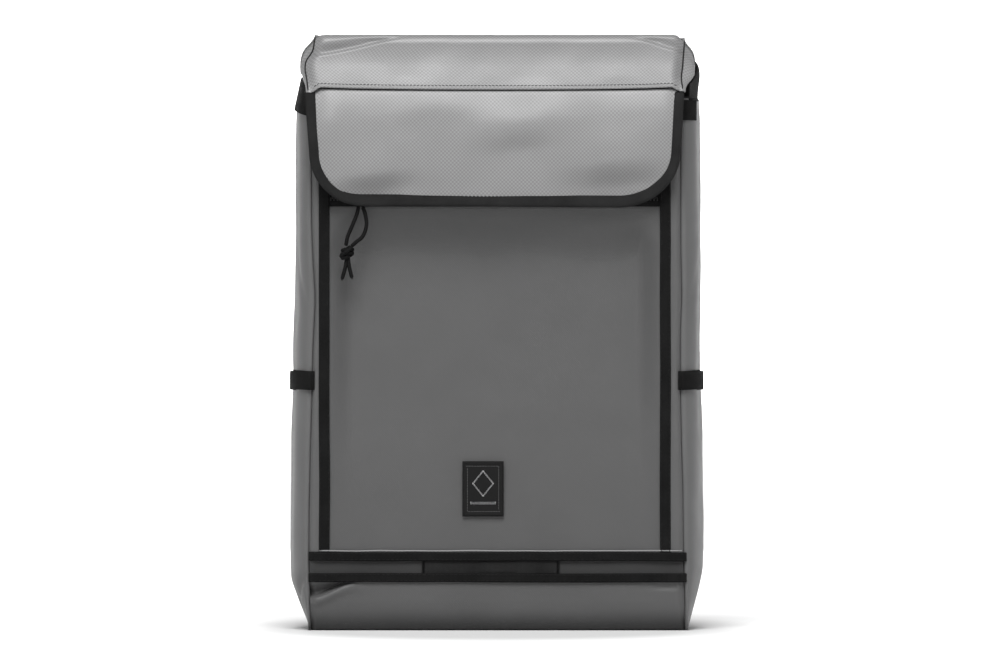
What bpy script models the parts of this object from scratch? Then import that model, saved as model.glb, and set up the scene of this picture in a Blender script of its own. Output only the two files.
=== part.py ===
"""Daypack: a flat-fronted, box-shaped backpack with a hinged lid, a front flap and a zipped front pocket.

Metres, +Z up. The front faces -Y, and the origin is the middle of the flat base.
"""

import math

import bmesh
import bpy
from mathutils import Matrix, Vector

# Driving dimensions
GAP = 0.0003
HEIGHT = 0.501
BASE_HALF = 0.1545
FRONT_HALF = 0.156
SEAM_HALF = 0.1588
SIDE_BULGE = 0.0137
WIDEST_AT = 0.62
BACK_RETURN = 0.5
BASE_RAMP = 0.044
TOP_NARROWING = 0.15
FABRIC = 0.002
SIDE_CLOTH = 0.0025
WEBBING = 0.0015

# Depths, front to back
FRONT_Y = -0.0765
POCKET_DEPTH = 0.0145
POCKET_BACK_Y = FRONT_Y + FABRIC + POCKET_DEPTH
SIDE_FRONT_Y = -0.0757
BACK_Y = 0.065
BACK_THICKNESS = 0.007
BACK_FACE_Y = BACK_Y + BACK_THICKNESS
BACK_HALF = 0.165
BACK_CORNER = 0.030
LID_FRONT_Y = -0.091
LID_CLOTH = 0.0025

# Heights
WALL_TOP = 0.4475
BACK_TOP = 0.478
LASH_LOW = 0.041
LASH_HIGH = 0.066
PANEL_LOW = LASH_HIGH + 0.0005
ZIP_LOW = 0.3566
ZIP_HIGH = 0.3700
FLAP_TOP = 0.456
FLAP_LOW = 0.356
FLAP_HALF = 0.1585
FLAP_CORNER = 0.044
BINDING_SIDE = 0.007
BINDING_LOW = 0.010

# Front tapes and lash bands
TAPE_INNER = 0.1388
TAPE_OUTER = 0.1478
BAND_HALF = 0.1585
BAND_HEIGHT = 0.0072
TACK_LEFT = -0.0625
TACK_RIGHT = 0.051

# Lid
LID_HALF = 0.155
LID_BACK_RADIUS = 0.015
LID_FRONT_RADIUS = 0.012
LID_PIVOT = Vector((0.0, 0.0722, 0.4785))
FLAP_PIVOT = Vector((0.0, LID_FRONT_Y, FLAP_TOP))
GUSSET_OUT = 0.165
GUSSET_BACK_Y = 0.019

# Zip and its pull cord
ZIP_HALF = 0.1385
SLIDER_X = -0.115
SLIDER_LENGTH = 0.012
SLIDER_LOW = 0.3585
SLIDER_PIVOT = Vector((SLIDER_X, -0.0835, SLIDER_LOW))
CORD_RADIUS = 0.0016
KNOT_AT = Vector((-0.1262, -0.0850, 0.3150))
KNOT_SIZE = Vector((0.0070, 0.0055, 0.0078))
LEFT_LEG = ((-0.1168, -0.0835, 0.3561), (-0.1181, -0.0838, 0.3500), (-0.1218, -0.0845, 0.3405),
            (-0.1258, -0.0850, 0.3310), (-0.1273, -0.0850, 0.3233))
RIGHT_LEG = ((-0.1132, -0.0835, 0.3561), (-0.1110, -0.0838, 0.3495), (-0.1100, -0.0845, 0.3405),
             (-0.1130, -0.0850, 0.3315), (-0.1190, -0.0852, 0.3262), (-0.1226, -0.0851, 0.3230))
TAILS = ((-0.1262, 0.3150, -0.1305, 0.2955), (-0.1255, 0.3150, -0.1222, 0.2965))

# Haul handle on the back
HANDLE_PIVOT = Vector((0.0, 0.0800, 0.4315))
HANDLE_RADIUS = 0.005
HANDLE_ROUTE = ((-0.046, 0.0800, 0.4315), (-0.0465, 0.0800, 0.4200), (-0.040, 0.0802, 0.4060),
                (-0.021, 0.0805, 0.4005), (0.0, 0.0805, 0.3995), (0.021, 0.0805, 0.4005),
                (0.040, 0.0802, 0.4060), (0.0465, 0.0800, 0.4200), (0.046, 0.0800, 0.4315))

# Shoulder straps, given for the right-hand side
STRAP_PIVOT = Vector((0.088, 0.0725, 0.4310))
STRAP_THICKNESS = 0.011
STRAP_WIDTH = 0.062
STRAP_END_WIDTH = 0.036
STRAP_ROUTE = ((0.0880, 0.0740, 0.4250), (0.0880, 0.0960, 0.4250), (0.0900, 0.1150, 0.4080),
               (0.0940, 0.1220, 0.3700), (0.0985, 0.1220, 0.3100), (0.1030, 0.1220, 0.2500),
               (0.1080, 0.1120, 0.1900), (0.1130, 0.0990, 0.1400))
LOCK_AT = Vector((0.1135, 0.0975, 0.1250))
LOCK_SIZE = Vector((0.030, 0.004, 0.024))
LOWER_WEB_ROUTE = ((0.1600, 0.0790, 0.0480), (0.1500, 0.0835, 0.0650), (0.1330, 0.0905, 0.0900),
                   (0.1210, 0.0940, 0.1100))
STERNUM_AT = Vector((0.0650, 0.1287, 0.3300))
STERNUM_WEB_LENGTH = 0.054

# Side straps
SIDE_STRAP_Z = 0.211
SIDE_STRAP_HEIGHT = 0.016
UPPER_TAB_Z = 0.4375
SIDE_STRAP_BACK_Y = 0.0635
SIDE_STRAP_FRONT_Y = -0.046
SIDE_HOOK_FRONT_Y = -0.064
SIDE_LOOP_BACK_Y = -0.060

COLOURS = {
    "panel_grey": ((0.125, 0.127, 0.128), 0.55, 0.0),
    "side_grey": ((0.165, 0.167, 0.168), 0.55, 0.0),
    "flap_grey": ((0.33, 0.335, 0.335), 0.45, 0.0),
    "webbing": ((0.012, 0.012, 0.013), 0.75, 0.0),
    "black_fabric": ((0.016, 0.016, 0.017), 0.8, 0.0),
    "liner": ((0.05, 0.05, 0.052), 0.5, 0.0),
    "spacer_mesh": ((0.02, 0.02, 0.021), 0.9, 0.0),
    "board": ((0.08, 0.08, 0.08), 0.6, 0.0),
    "cord": ((0.013, 0.013, 0.014), 0.7, 0.0),
    "zip_metal": ((0.03, 0.03, 0.032), 0.35, 1.0),
    "black_plastic": ((0.014, 0.014, 0.015), 0.4, 0.0),
}


def clear_scene():
    for obj in list(bpy.data.objects):
        bpy.data.objects.remove(obj, do_unlink=True)


def material(slot):
    found = bpy.data.materials.get(slot)
    if found:
        return found
    colour, roughness, metallic = COLOURS[slot]
    made = bpy.data.materials.new(slot)
    made.use_nodes = True
    shader = made.node_tree.nodes["Principled BSDF"]
    shader.inputs["Base Color"].default_value = (*colour, 1.0)
    shader.inputs["Roughness"].default_value = roughness
    shader.inputs["Metallic"].default_value = metallic
    return made


def place(name, data, slot, parent=None):
    obj = bpy.data.objects.new(name, data)
    bpy.context.scene.collection.objects.link(obj)
    data.materials.append(material(slot))
    hang(obj, parent)
    return obj


def hang(obj, parent):
    """Parents without moving. Every pivot's location is its place in the world."""
    if parent:
        obj.parent = parent
        obj.matrix_parent_inverse = Matrix.Translation(-parent.location)


def pivot(name, at, parent=None):
    empty = bpy.data.objects.new(name, None)
    empty.empty_display_size = 0.02
    empty.location = at
    bpy.context.scene.collection.objects.link(empty)
    hang(empty, parent)
    return empty


def mesh_piece(name, bm, slot, parent=None, bevel=0.0):
    bmesh.ops.recalc_face_normals(bm, faces=bm.faces)
    mesh = bpy.data.meshes.new(name)
    bm.to_mesh(mesh)
    bm.free()
    obj = place(name, mesh, slot, parent)
    mesh.shade_smooth()
    mesh.set_sharp_from_angle(angle=math.radians(40))
    if bevel:
        modifier = obj.modifiers.new("edge", "BEVEL")
        modifier.width = bevel
        modifier.segments = 2
        modifier.limit_method = "ANGLE"
        modifier.angle_limit = math.radians(50)
    return obj


def slab(name, low, high, slot, parent=None, bevel=0.0):
    low = Vector(low)
    high = Vector(high)
    bm = bmesh.new()
    bmesh.ops.create_cube(bm, size=1.0)
    bmesh.ops.scale(bm, vec=high - low, verts=bm.verts)
    bmesh.ops.translate(bm, vec=(low + high) / 2, verts=bm.verts)
    return mesh_piece(name, bm, slot, parent, bevel)


def prism(name, outline, axis, low, high, slot, parent=None, bevel=0.0):
    """Extrudes an outline, given in the two other axes in X, Y, Z order, from low to high along the axis."""
    def point(pair, along):
        values = list(pair)
        values.insert("xyz".index(axis), along)
        return values

    bm = bmesh.new()
    face = bm.faces.new([bm.verts.new(point(pair, low)) for pair in outline])
    raised = bmesh.ops.extrude_face_region(bm, geom=[face])["geom"]
    tops = [item for item in raised if isinstance(item, bmesh.types.BMVert)]
    for vert in tops:
        vert.co["xyz".index(axis)] = high
    return mesh_piece(name, bm, slot, parent, bevel)


def loft(name, rings, slot, parent=None):
    """Joins closed rings of equal length in order, and caps both ends."""
    bm = bmesh.new()
    loops = [[bm.verts.new(point) for point in ring] for ring in rings]
    for first, second in zip(loops, loops[1:]):
        for i in range(len(first)):
            j = (i + 1) % len(first)
            bm.faces.new((first[i], first[j], second[j], second[i]))
    bm.faces.new(loops[0][::-1])
    bm.faces.new(loops[-1])
    return mesh_piece(name, bm, slot, parent)


def arc(centre, radius, start, end, steps):
    """Points on a circle's arc, in degrees."""
    points = []
    for i in range(steps + 1):
        angle = math.radians(start + (end - start) * i / steps)
        points.append((centre[0] + radius * math.cos(angle), centre[1] + radius * math.sin(angle)))
    return points


def smooth_route(points, steps):
    """A Catmull-Rom curve through the points, with this many steps between each two."""
    route = [Vector(point) for point in points]
    ends = [2 * route[0] - route[1], *route, 2 * route[-1] - route[-2]]
    curve = []
    for a, b, c, d in zip(ends, ends[1:], ends[2:], ends[3:]):
        for i in range(steps):
            t = i / steps
            curve.append(0.5 * (2 * b + (c - a) * t + (2 * a - 5 * b + 4 * c - d) * t ** 2
                                + (3 * b - a - 3 * c + d) * t ** 3))
    return [*curve, route[-1]]


def mirrored(points, side):
    return [Vector((side * x, y, z)) for x, y, z in points]


def tube(name, points, radius, slot, parent=None):
    curve = bpy.data.curves.new(name, "CURVE")
    curve.dimensions = "3D"
    curve.bevel_depth = radius
    curve.bevel_resolution = 2
    curve.use_fill_caps = True
    spline = curve.splines.new("POLY")
    spline.points.add(len(points) - 1)
    for knot, point in zip(spline.points, points):
        knot.co = (*point, 1.0)
    return place(name, curve, slot, parent)


def ribbon(name, route, widths, thickness, slot, parent=None, across=Vector((1, 0, 0)), chamfer=0.25):
    """A flat strip along the route. Its width, read from widths end to end, runs along across."""
    rings = []
    last = len(route) - 1
    for i, point in enumerate(route):
        tangent = (route[min(i + 1, last)] - route[max(i - 1, 0)]).normalized()
        side = (across - across.dot(tangent) * tangent).normalized()
        out = side.cross(tangent)
        half = (widths[0] + (widths[1] - widths[0]) * i / last) / 2
        deep = thickness / 2
        cut = thickness * chamfer
        corners = ((half - cut, deep), (half, deep - cut), (half, cut - deep), (half - cut, -deep),
                   (cut - half, -deep), (-half, cut - deep), (-half, deep - cut), (cut - half, deep))
        rings.append([point + side * w + out * h for w, h in corners])
    return loft(name, rings, slot, parent)


def side_name(side):
    return "right" if side > 0 else "left"


def side_x(y, z):
    """How far out the side panel's outer face is."""
    u = (y - SIDE_FRONT_Y) / (BACK_Y - SIDE_FRONT_Y)
    if u < WIDEST_AT:
        across = 1 - (1 - u / WIDEST_AT) ** 2
    else:
        across = 1 - BACK_RETURN * ((u - WIDEST_AT) / (1 - WIDEST_AT)) ** 2
    low = min(1.0, z / BASE_RAMP)
    high = 1 - TOP_NARROWING * max(0.0, 2 * z / HEIGHT - 1) ** 2
    return SEAM_HALF + SIDE_BULGE * across * low * high


def make_base():
    slab("bottom_panel", (-BASE_HALF, -0.066, 0.0), (BASE_HALF, 0.0640, 0.003), "side_grey")
    slab("base_stiffener", (-0.150, -0.0570, 0.0033), (0.150, 0.0580, 0.0063), "board")
    radius = 0.010
    outer = arc((FRONT_Y + radius, radius), radius, 180, 270, 5)
    inner = arc((FRONT_Y + radius, radius), radius - FABRIC, 270, 180, 5)
    outline = [(FRONT_Y, LASH_LOW - GAP), *outer, *inner, (FRONT_Y + FABRIC, LASH_LOW - GAP)]
    prism("bottom_front_panel", outline, "x", -FRONT_HALF, FRONT_HALF, "side_grey")


def make_lash_bands():
    face = FRONT_Y - GAP
    slab("lash_strip", (-FRONT_HALF, FRONT_Y, LASH_LOW), (FRONT_HALF, FRONT_Y + FABRIC, LASH_HIGH), "panel_grey")
    for name, low in (("lash_band_lower", LASH_LOW), ("lash_band_upper", LASH_HIGH - BAND_HEIGHT)):
        slab(name, (-BAND_HALF, face - WEBBING, low), (BAND_HALF, face, low + BAND_HEIGHT), "webbing", bevel=0.0003)
    low = LASH_LOW + BAND_HEIGHT + GAP
    high = LASH_HIGH - BAND_HEIGHT - GAP
    slab("lash_patch", (TACK_LEFT, face - WEBBING, low), (TACK_RIGHT, face, high), "webbing")


def make_front():
    back = FRONT_Y + FABRIC
    zip_x = ZIP_HALF
    slab("front_panel", (-zip_x, FRONT_Y, PANEL_LOW), (zip_x, back, ZIP_LOW - GAP), "panel_grey")
    slab("front_yoke_panel", (-zip_x, FRONT_Y, ZIP_HIGH + GAP), (zip_x, back, WALL_TOP), "panel_grey")
    slab("pocket_inner_wall", (-0.1535, POCKET_BACK_Y + GAP, 0.0045), (0.1535, POCKET_BACK_Y + FABRIC, WALL_TOP),
         "liner")
    teeth = (ZIP_LOW + ZIP_HIGH) / 2
    ridge = 0.001
    half = 0.002
    outline = [(FRONT_Y, ZIP_LOW), (FRONT_Y, teeth - half), (FRONT_Y - ridge, teeth - half),
               (FRONT_Y - ridge, teeth + half), (FRONT_Y, teeth + half), (FRONT_Y, ZIP_HIGH),
               (back, ZIP_HIGH), (back, ZIP_LOW)]
    prism("front_zip", outline, "x", -zip_x, zip_x, "black_fabric")
    slab("closure_loop_strip", (-0.100, FRONT_Y - GAP - WEBBING, 0.395), (0.100, FRONT_Y - GAP, 0.420), "webbing")
    slab("plain_patch", (-0.0295, FRONT_Y - GAP - WEBBING, 0.0960), (0.0052, FRONT_Y - GAP, 0.1425), "webbing",
         bevel=0.0004)
    for side in (-1, 1):
        name = side_name(side)
        x = sorted((side * TAPE_INNER, side * FRONT_HALF))
        slab(f"front_border_{name}", (x[0], SIDE_FRONT_Y, PANEL_LOW), (x[1], POCKET_BACK_Y, WALL_TOP), "panel_grey")
        x = sorted((side * TAPE_INNER, side * TAPE_OUTER))
        tape_back = SIDE_FRONT_Y - GAP
        slab(f"front_tape_{name}", (x[0], tape_back - WEBBING, PANEL_LOW), (x[1], tape_back, WALL_TOP), "webbing")


def make_side_panel(side):
    """A curved wall that swells outwards behind its front seam and tucks in at the base."""
    depth = BACK_Y - 0.0005 - SIDE_FRONT_Y
    steps = 10
    stations = [SIDE_FRONT_Y + depth * i / steps for i in range(steps + 1)]
    rings = []
    for z in (0.0, BASE_RAMP / 2, BASE_RAMP, 0.12, 0.25, 0.32, 0.38, WALL_TOP):
        outer = [(side * side_x(y, z), y, z) for y in stations]
        inner = [(side * (side_x(y, z) - SIDE_CLOTH), y, z) for y in reversed(stations)]
        rings.append(outer + inner)
    loft(f"side_panel_{side_name(side)}", rings, "side_grey")


def make_collar(side):
    """The black rear corner of the mouth, between the side panel and the lid."""
    low = (LID_HALF + GAP, 0.0200, WALL_TOP + GAP)
    high = (0.1690, BACK_Y - 0.001, BACK_TOP + 0.001)
    x = sorted((side * low[0], side * high[0]))
    slab(f"collar_{side_name(side)}", (x[0], *low[1:]), (x[1], *high[1:]), "black_fabric", bevel=0.002)


def make_back():
    corner = (BACK_HALF - BACK_CORNER, BACK_TOP - BACK_CORNER)
    outline = [(-FRONT_HALF, 0.0), (FRONT_HALF, 0.0), (BACK_HALF, BASE_RAMP), *arc(corner, BACK_CORNER, 0, 90, 6)]
    outline += [*arc((-corner[0], corner[1]), BACK_CORNER, 90, 180, 6), (-BACK_HALF, BASE_RAMP)]
    prism("back_panel", outline, "y", BACK_Y, BACK_FACE_Y, "black_fabric")
    slab("frame_sheet", (-0.140, 0.0607, 0.020), (0.140, 0.0640, 0.460), "board")
    slab("laptop_sleeve", (-0.1440, 0.0395, 0.030), (0.1440, 0.0410, 0.340), "liner")
    for side in (-1, 1):
        x = sorted((side * 0.012, side * 0.125))
        slab(f"back_pad_{side_name(side)}", (x[0], BACK_FACE_Y + GAP, 0.060), (x[1], 0.0800, 0.385), "spacer_mesh",
             bevel=0.003)


def make_liner():
    """An open-topped bag of thin cloth inside the walls."""
    wall = 0.0008
    low = Vector((-0.1520, POCKET_BACK_Y + FABRIC + GAP, 0.0070))
    high = Vector((0.1520, 0.0600, 0.4400))
    bm = bmesh.new()

    def ring(inset, z):
        return [bm.verts.new((x, y, z)) for x, y in (
            (low.x + inset, low.y + inset), (high.x - inset, low.y + inset),
            (high.x - inset, high.y - inset), (low.x + inset, high.y - inset))]

    rings = [ring(0, low.z), ring(0, high.z), ring(wall, high.z), ring(wall, low.z + wall)]
    for first, second in zip(rings, rings[1:]):
        for i in range(4):
            j = (i + 1) % 4
            bm.faces.new((first[i], first[j], second[j], second[i]))
    bm.faces.new(rings[0])
    bm.faces.new(rings[-1])
    mesh_piece("main_liner", bm, "liner")


def make_lid():
    lid = pivot("lid_pivot", LID_PIVOT)
    back = LID_PIVOT.y - 0.0007
    low = LID_PIVOT.z + 0.0005

    def profile(inset):
        rear = arc((back - LID_BACK_RADIUS, HEIGHT - LID_BACK_RADIUS), LID_BACK_RADIUS - inset, 0, 90, 6)
        front = arc((LID_FRONT_Y + LID_FRONT_RADIUS, HEIGHT - LID_FRONT_RADIUS), LID_FRONT_RADIUS - inset, 90, 180, 6)
        return [(back - inset, low), *rear, *front, (LID_FRONT_Y + inset, FLAP_TOP + 0.0005)]

    outline = profile(0) + profile(LID_CLOTH)[::-1]
    prism("lid_top_panel", outline, "x", -LID_HALF, LID_HALF, "flap_grey", lid)
    for side in (-1, 1):
        make_lid_gusset(side, lid)
    return lid


def make_lid_gusset(side, lid):
    """A leaf-shaped side of the lid: flat inside and swelling outwards at half height."""
    inner = LID_HALF + GAP
    low = FLAP_TOP - 0.0025
    high = HEIGHT - 0.002
    steps = 10
    outline = [(side * inner, low)]
    for i in range(steps + 1):
        t = i / steps
        swell = math.sin(math.pi * t ** 0.8)
        outline.append((side * (inner + 0.002 + (GUSSET_OUT - inner - 0.002) * swell), low + (high - low) * t))
    outline.append((side * inner, high))
    prism(f"lid_gusset_{side_name(side)}", outline, "y", LID_FRONT_Y + LID_CLOTH, GUSSET_BACK_Y, "flap_grey", lid)


def flap_outline(side_inset, low_inset):
    """The flap's lower outline from its top left corner round to its top right corner."""
    half = FLAP_HALF - side_inset
    low = FLAP_LOW + low_inset
    radius = FLAP_CORNER - (side_inset + low_inset) / 2
    left = arc((radius - half, low + radius), radius, 180, 270, 8)
    right = arc((half - radius, low + radius), radius, 270, 360, 8)
    top = FLAP_TOP - 0.0005
    return [(-half, top), *left, *right, (half, top)]


def make_flap(lid):
    flap = pivot("flap_pivot", FLAP_PIVOT, lid)
    back = LID_FRONT_Y + LID_CLOTH
    inner = flap_outline(BINDING_SIDE + GAP, BINDING_LOW + GAP)
    prism("flap_panel", inner, "y", LID_FRONT_Y + GAP, back - GAP, "flap_grey", flap)
    band = flap_outline(0, 0) + flap_outline(BINDING_SIDE, BINDING_LOW)[::-1]
    prism("flap_binding", band, "y", LID_FRONT_Y, back, "webbing", flap)
    slab("closure_hook_strip", (-0.100, back, 0.395), (0.100, FRONT_Y - 2 * GAP - WEBBING, 0.420), "webbing", flap)


def make_zip_slider():
    slider = pivot("slider_pivot", SLIDER_PIVOT)
    half = SLIDER_LENGTH / 2
    face = FRONT_Y - 0.001 - GAP
    profile = ((0.0, 0.0), (0.0, 0.0092), (0.0030, 0.0085), (0.0058, 0.0060), (0.0062, 0.0015), (0.0035, 0.0))
    outline = [(face - depth, SLIDER_LOW + rise) for depth, rise in profile]
    prism("zip_slider", outline, "x", SLIDER_X - half, SLIDER_X + half, "zip_metal", slider, bevel=0.0004)
    return slider


def make_pull(slider):
    """Two legs of cord from the slider to a knot, with the cord's two tails below it."""
    pull = pivot("pull_pivot", SLIDER_PIVOT, slider)
    tube("pull_cord_left", smooth_route(LEFT_LEG, 3), CORD_RADIUS, "cord", pull)
    tube("pull_cord_right", smooth_route(RIGHT_LEG, 3), CORD_RADIUS, "cord", pull)
    bm = bmesh.new()
    bmesh.ops.create_uvsphere(bm, u_segments=14, v_segments=9, radius=1.0)
    bmesh.ops.scale(bm, vec=KNOT_SIZE, verts=bm.verts)
    bmesh.ops.translate(bm, vec=KNOT_AT, verts=bm.verts)
    knot = mesh_piece("pull_knot", bm, "cord", pull)
    for number, (top_x, top_z, end_x, end_z) in enumerate(TAILS):
        ends = [Vector((top_x, KNOT_AT.y, top_z)), Vector((end_x, KNOT_AT.y, end_z))]
        tail = ribbon(f"tail_{number}", ends, (2 * CORD_RADIUS, 2 * CORD_RADIUS), 2 * CORD_RADIUS, "cord", pull)
        tail.hide_render = True
        tail.display_type = "WIRE"
        union = knot.modifiers.new(tail.name, "BOOLEAN")
        union.operation = "UNION"
        union.object = tail


def make_haul_handle():
    handle = pivot("handle_pivot", HANDLE_PIVOT)
    tube("haul_handle", smooth_route(HANDLE_ROUTE, 4), HANDLE_RADIUS, "webbing", handle)


def make_shoulder_strap(side):
    name = side_name(side)
    strap = pivot(f"{name}_strap_pivot", Vector((side * STRAP_PIVOT.x, *STRAP_PIVOT.yz)))
    route = smooth_route(mirrored(STRAP_ROUTE, side), 4)
    ribbon(f"shoulder_strap_{name}", route, (STRAP_WIDTH, STRAP_END_WIDTH), STRAP_THICKNESS, "spacer_mesh", strap)
    make_ladder_lock(side, strap)
    make_sternum_half(side, strap)
    web = smooth_route(mirrored(LOWER_WEB_ROUTE, side), 3)
    across = Vector((0.85, 0.0, side * 0.5))
    ribbon(f"lower_webbing_{name}", web, (0.020, 0.020), WEBBING, "webbing", across=across)
    tab = [(0.150, 0.0360), (0.1735, 0.0360), (0.1735, 0.0560), (0.158, 0.0640), (0.150, 0.0560)]
    outline = [(side * x, z) for x, z in tab]
    prism(f"strap_anchor_{name}", outline, "y", BACK_FACE_Y + GAP, 0.0765, "webbing")


def make_ladder_lock(side, strap):
    """A flat buckle with two slots for the lower webbing."""
    name = f"ladder_lock_{side_name(side)}"
    centre = Vector((side * LOCK_AT.x, *LOCK_AT.yz))
    lock = slab(name, centre - LOCK_SIZE / 2, centre + LOCK_SIZE / 2, "black_plastic", strap)
    slot_size = Vector((0.022, 0.012, 0.003))
    for number, rise in enumerate((-0.0055, 0.0035)):
        middle = centre + Vector((0, 0, rise))
        cutter = slab(f"{name}_cutter_{number}", middle - slot_size / 2, middle + slot_size / 2, "black_plastic", strap)
        cutter.hide_render = True
        cutter.display_type = "WIRE"
        cut = lock.modifiers.new(cutter.name, "BOOLEAN")
        cut.operation = "DIFFERENCE"
        cut.object = cutter


def make_sternum_half(side, strap):
    """A slider on the strap, its short webbing and one half of the chest buckle, hanging undone."""
    name = side_name(side)
    at = Vector((side * STERNUM_AT.x, *STERNUM_AT.yz))
    half = pivot(f"{name}_sternum_pivot", at, strap)

    def block(piece, width, depth, low, high, slot, bevel):
        slab(f"{piece}_{name}", at + Vector((-width / 2, depth[0], low)), at + Vector((width / 2, depth[1], high)),
             slot, half, bevel)

    block("sternum_slider", 0.026, (0.0, 0.0035), -0.0075, 0.0075, "black_plastic", 0.0008)
    low = -0.0075 - GAP - STERNUM_WEB_LENGTH
    block("sternum_webbing", 0.015, (0.0010, 0.0025), low, -0.0075 - GAP, "webbing", 0.0)
    block("sternum_buckle", 0.019, (0.0005, 0.0060), low - 0.028, low - GAP, "black_plastic", 0.0012)


def along_side(side, z, back, front, lift):
    """Points on the side panel's outer face, lifted off it, from back to front."""
    steps = 8
    route = []
    for i in range(steps + 1):
        y = back + (front - back) * i / steps
        route.append(Vector((side * (side_x(y, z) + lift), y, z)))
    return route


def make_side_straps(side):
    name = side_name(side)
    up = Vector((0, 0, 1))
    wide = (SIDE_STRAP_HEIGHT, SIDE_STRAP_HEIGHT)
    lift = 0.0005 + WEBBING / 2
    route = along_side(side, SIDE_STRAP_Z, SIDE_STRAP_BACK_Y, SIDE_STRAP_FRONT_Y, lift)
    strap = pivot(f"{name}_side_strap_pivot", Vector((side * (side_x(SIDE_STRAP_BACK_Y, SIDE_STRAP_Z) + 0.0005),
                                                      SIDE_STRAP_BACK_Y, SIDE_STRAP_Z)))
    ribbon(f"side_strap_{name}", route, wide, WEBBING, "webbing", strap, up)
    over = lift + WEBBING + 0.0005
    hook = along_side(side, SIDE_STRAP_Z, SIDE_STRAP_FRONT_Y - GAP, SIDE_HOOK_FRONT_Y, over)
    ribbon(f"side_hook_{name}", hook, (0.018, 0.018), 0.002, "black_plastic", strap, up)
    loop = along_side(side, SIDE_STRAP_Z, SIDE_LOOP_BACK_Y, SIDE_FRONT_Y - 0.0005, lift)
    ribbon(f"side_loop_{name}", loop, wide, WEBBING, "webbing", None, up)
    tab = along_side(side, UPPER_TAB_Z, SIDE_STRAP_BACK_Y, SIDE_FRONT_Y - 0.0005, lift)
    ribbon(f"upper_side_tab_{name}", tab, (0.017, 0.017), WEBBING, "webbing", None, up)


def main():
    clear_scene()
    make_base()
    make_lash_bands()
    make_front()
    make_back()
    make_liner()
    lid = make_lid()
    make_flap(lid)
    make_pull(make_zip_slider())
    make_haul_handle()
    for side in (-1, 1):
        make_side_panel(side)
        make_collar(side)
        make_shoulder_strap(side)
        make_side_straps(side)


main()
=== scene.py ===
"""Looks of the daypack: cloth, tapes, webbing, cords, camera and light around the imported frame.

Metres. The front faces -Y, +Z is up, and the origin is the middle of the flat base.
"""

import math

import bpy
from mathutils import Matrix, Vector, noise


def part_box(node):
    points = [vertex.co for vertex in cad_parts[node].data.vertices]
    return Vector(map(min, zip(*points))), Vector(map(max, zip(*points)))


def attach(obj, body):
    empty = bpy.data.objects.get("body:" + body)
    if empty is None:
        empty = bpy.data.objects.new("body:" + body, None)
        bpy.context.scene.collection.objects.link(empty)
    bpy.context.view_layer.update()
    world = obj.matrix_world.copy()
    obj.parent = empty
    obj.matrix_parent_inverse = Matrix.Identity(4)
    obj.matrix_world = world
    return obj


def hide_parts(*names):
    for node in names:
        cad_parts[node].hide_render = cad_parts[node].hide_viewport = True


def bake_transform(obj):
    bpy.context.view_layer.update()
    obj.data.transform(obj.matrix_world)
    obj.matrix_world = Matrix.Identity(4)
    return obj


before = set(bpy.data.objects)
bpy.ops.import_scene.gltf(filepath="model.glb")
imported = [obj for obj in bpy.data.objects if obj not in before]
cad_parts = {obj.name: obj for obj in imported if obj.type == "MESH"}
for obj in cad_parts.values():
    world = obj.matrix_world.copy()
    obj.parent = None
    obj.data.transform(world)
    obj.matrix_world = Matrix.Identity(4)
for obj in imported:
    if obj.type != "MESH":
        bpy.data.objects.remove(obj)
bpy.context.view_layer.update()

UP = Vector((0.0, 0.0, 1.0))
FRONT = Vector((0.0, -1.0, 0.0))
BACK = Vector((0.0, 1.0, 0.0))
RIGHT = Vector((1.0, 0.0, 0.0))
SIDES = ((-1, "left"), (1, "right"))

# Heights, depths and half widths that several pieces share
LASH = [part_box("lash_strip")[i].z for i in (0, 1)]
FRONT_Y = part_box("front_panel")[0].y
BACK_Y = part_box("back_panel")[1].y
BACK_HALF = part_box("back_panel")[1].x
BACK_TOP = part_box("back_panel")[1].z
PANEL_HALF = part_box("front_panel")[1].x
SIDE_FRONT_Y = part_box("side_panel_right")[0].y
SIDE_BACK_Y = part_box("side_panel_right")[1].y
WALL_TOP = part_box("side_panel_right")[1].z
LID_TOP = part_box("lid_top_panel")[1].z
LID_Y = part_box("lid_top_panel")[0].y
LID_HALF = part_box("lid_top_panel")[1].x
FLAP_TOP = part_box("flap_panel")[1].z
FLAP_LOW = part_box("flap_binding")[0].z
ZIP_Z = (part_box("front_zip")[0].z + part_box("front_zip")[1].z) / 2
STITCH = 0.00032
FINE_STITCH = 0.00024
STITCH_SIDES = 5
# (share of the stitch's length, how many thread radii it stands off the cloth)
STITCH_ARCH = ((0.0, -0.6), (0.18, 0.35), (0.5, 0.55), (0.82, 0.35), (1.0, -0.6))
WEBBING = 0.0014
CLOTH = 0.0016


# Materials

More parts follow.
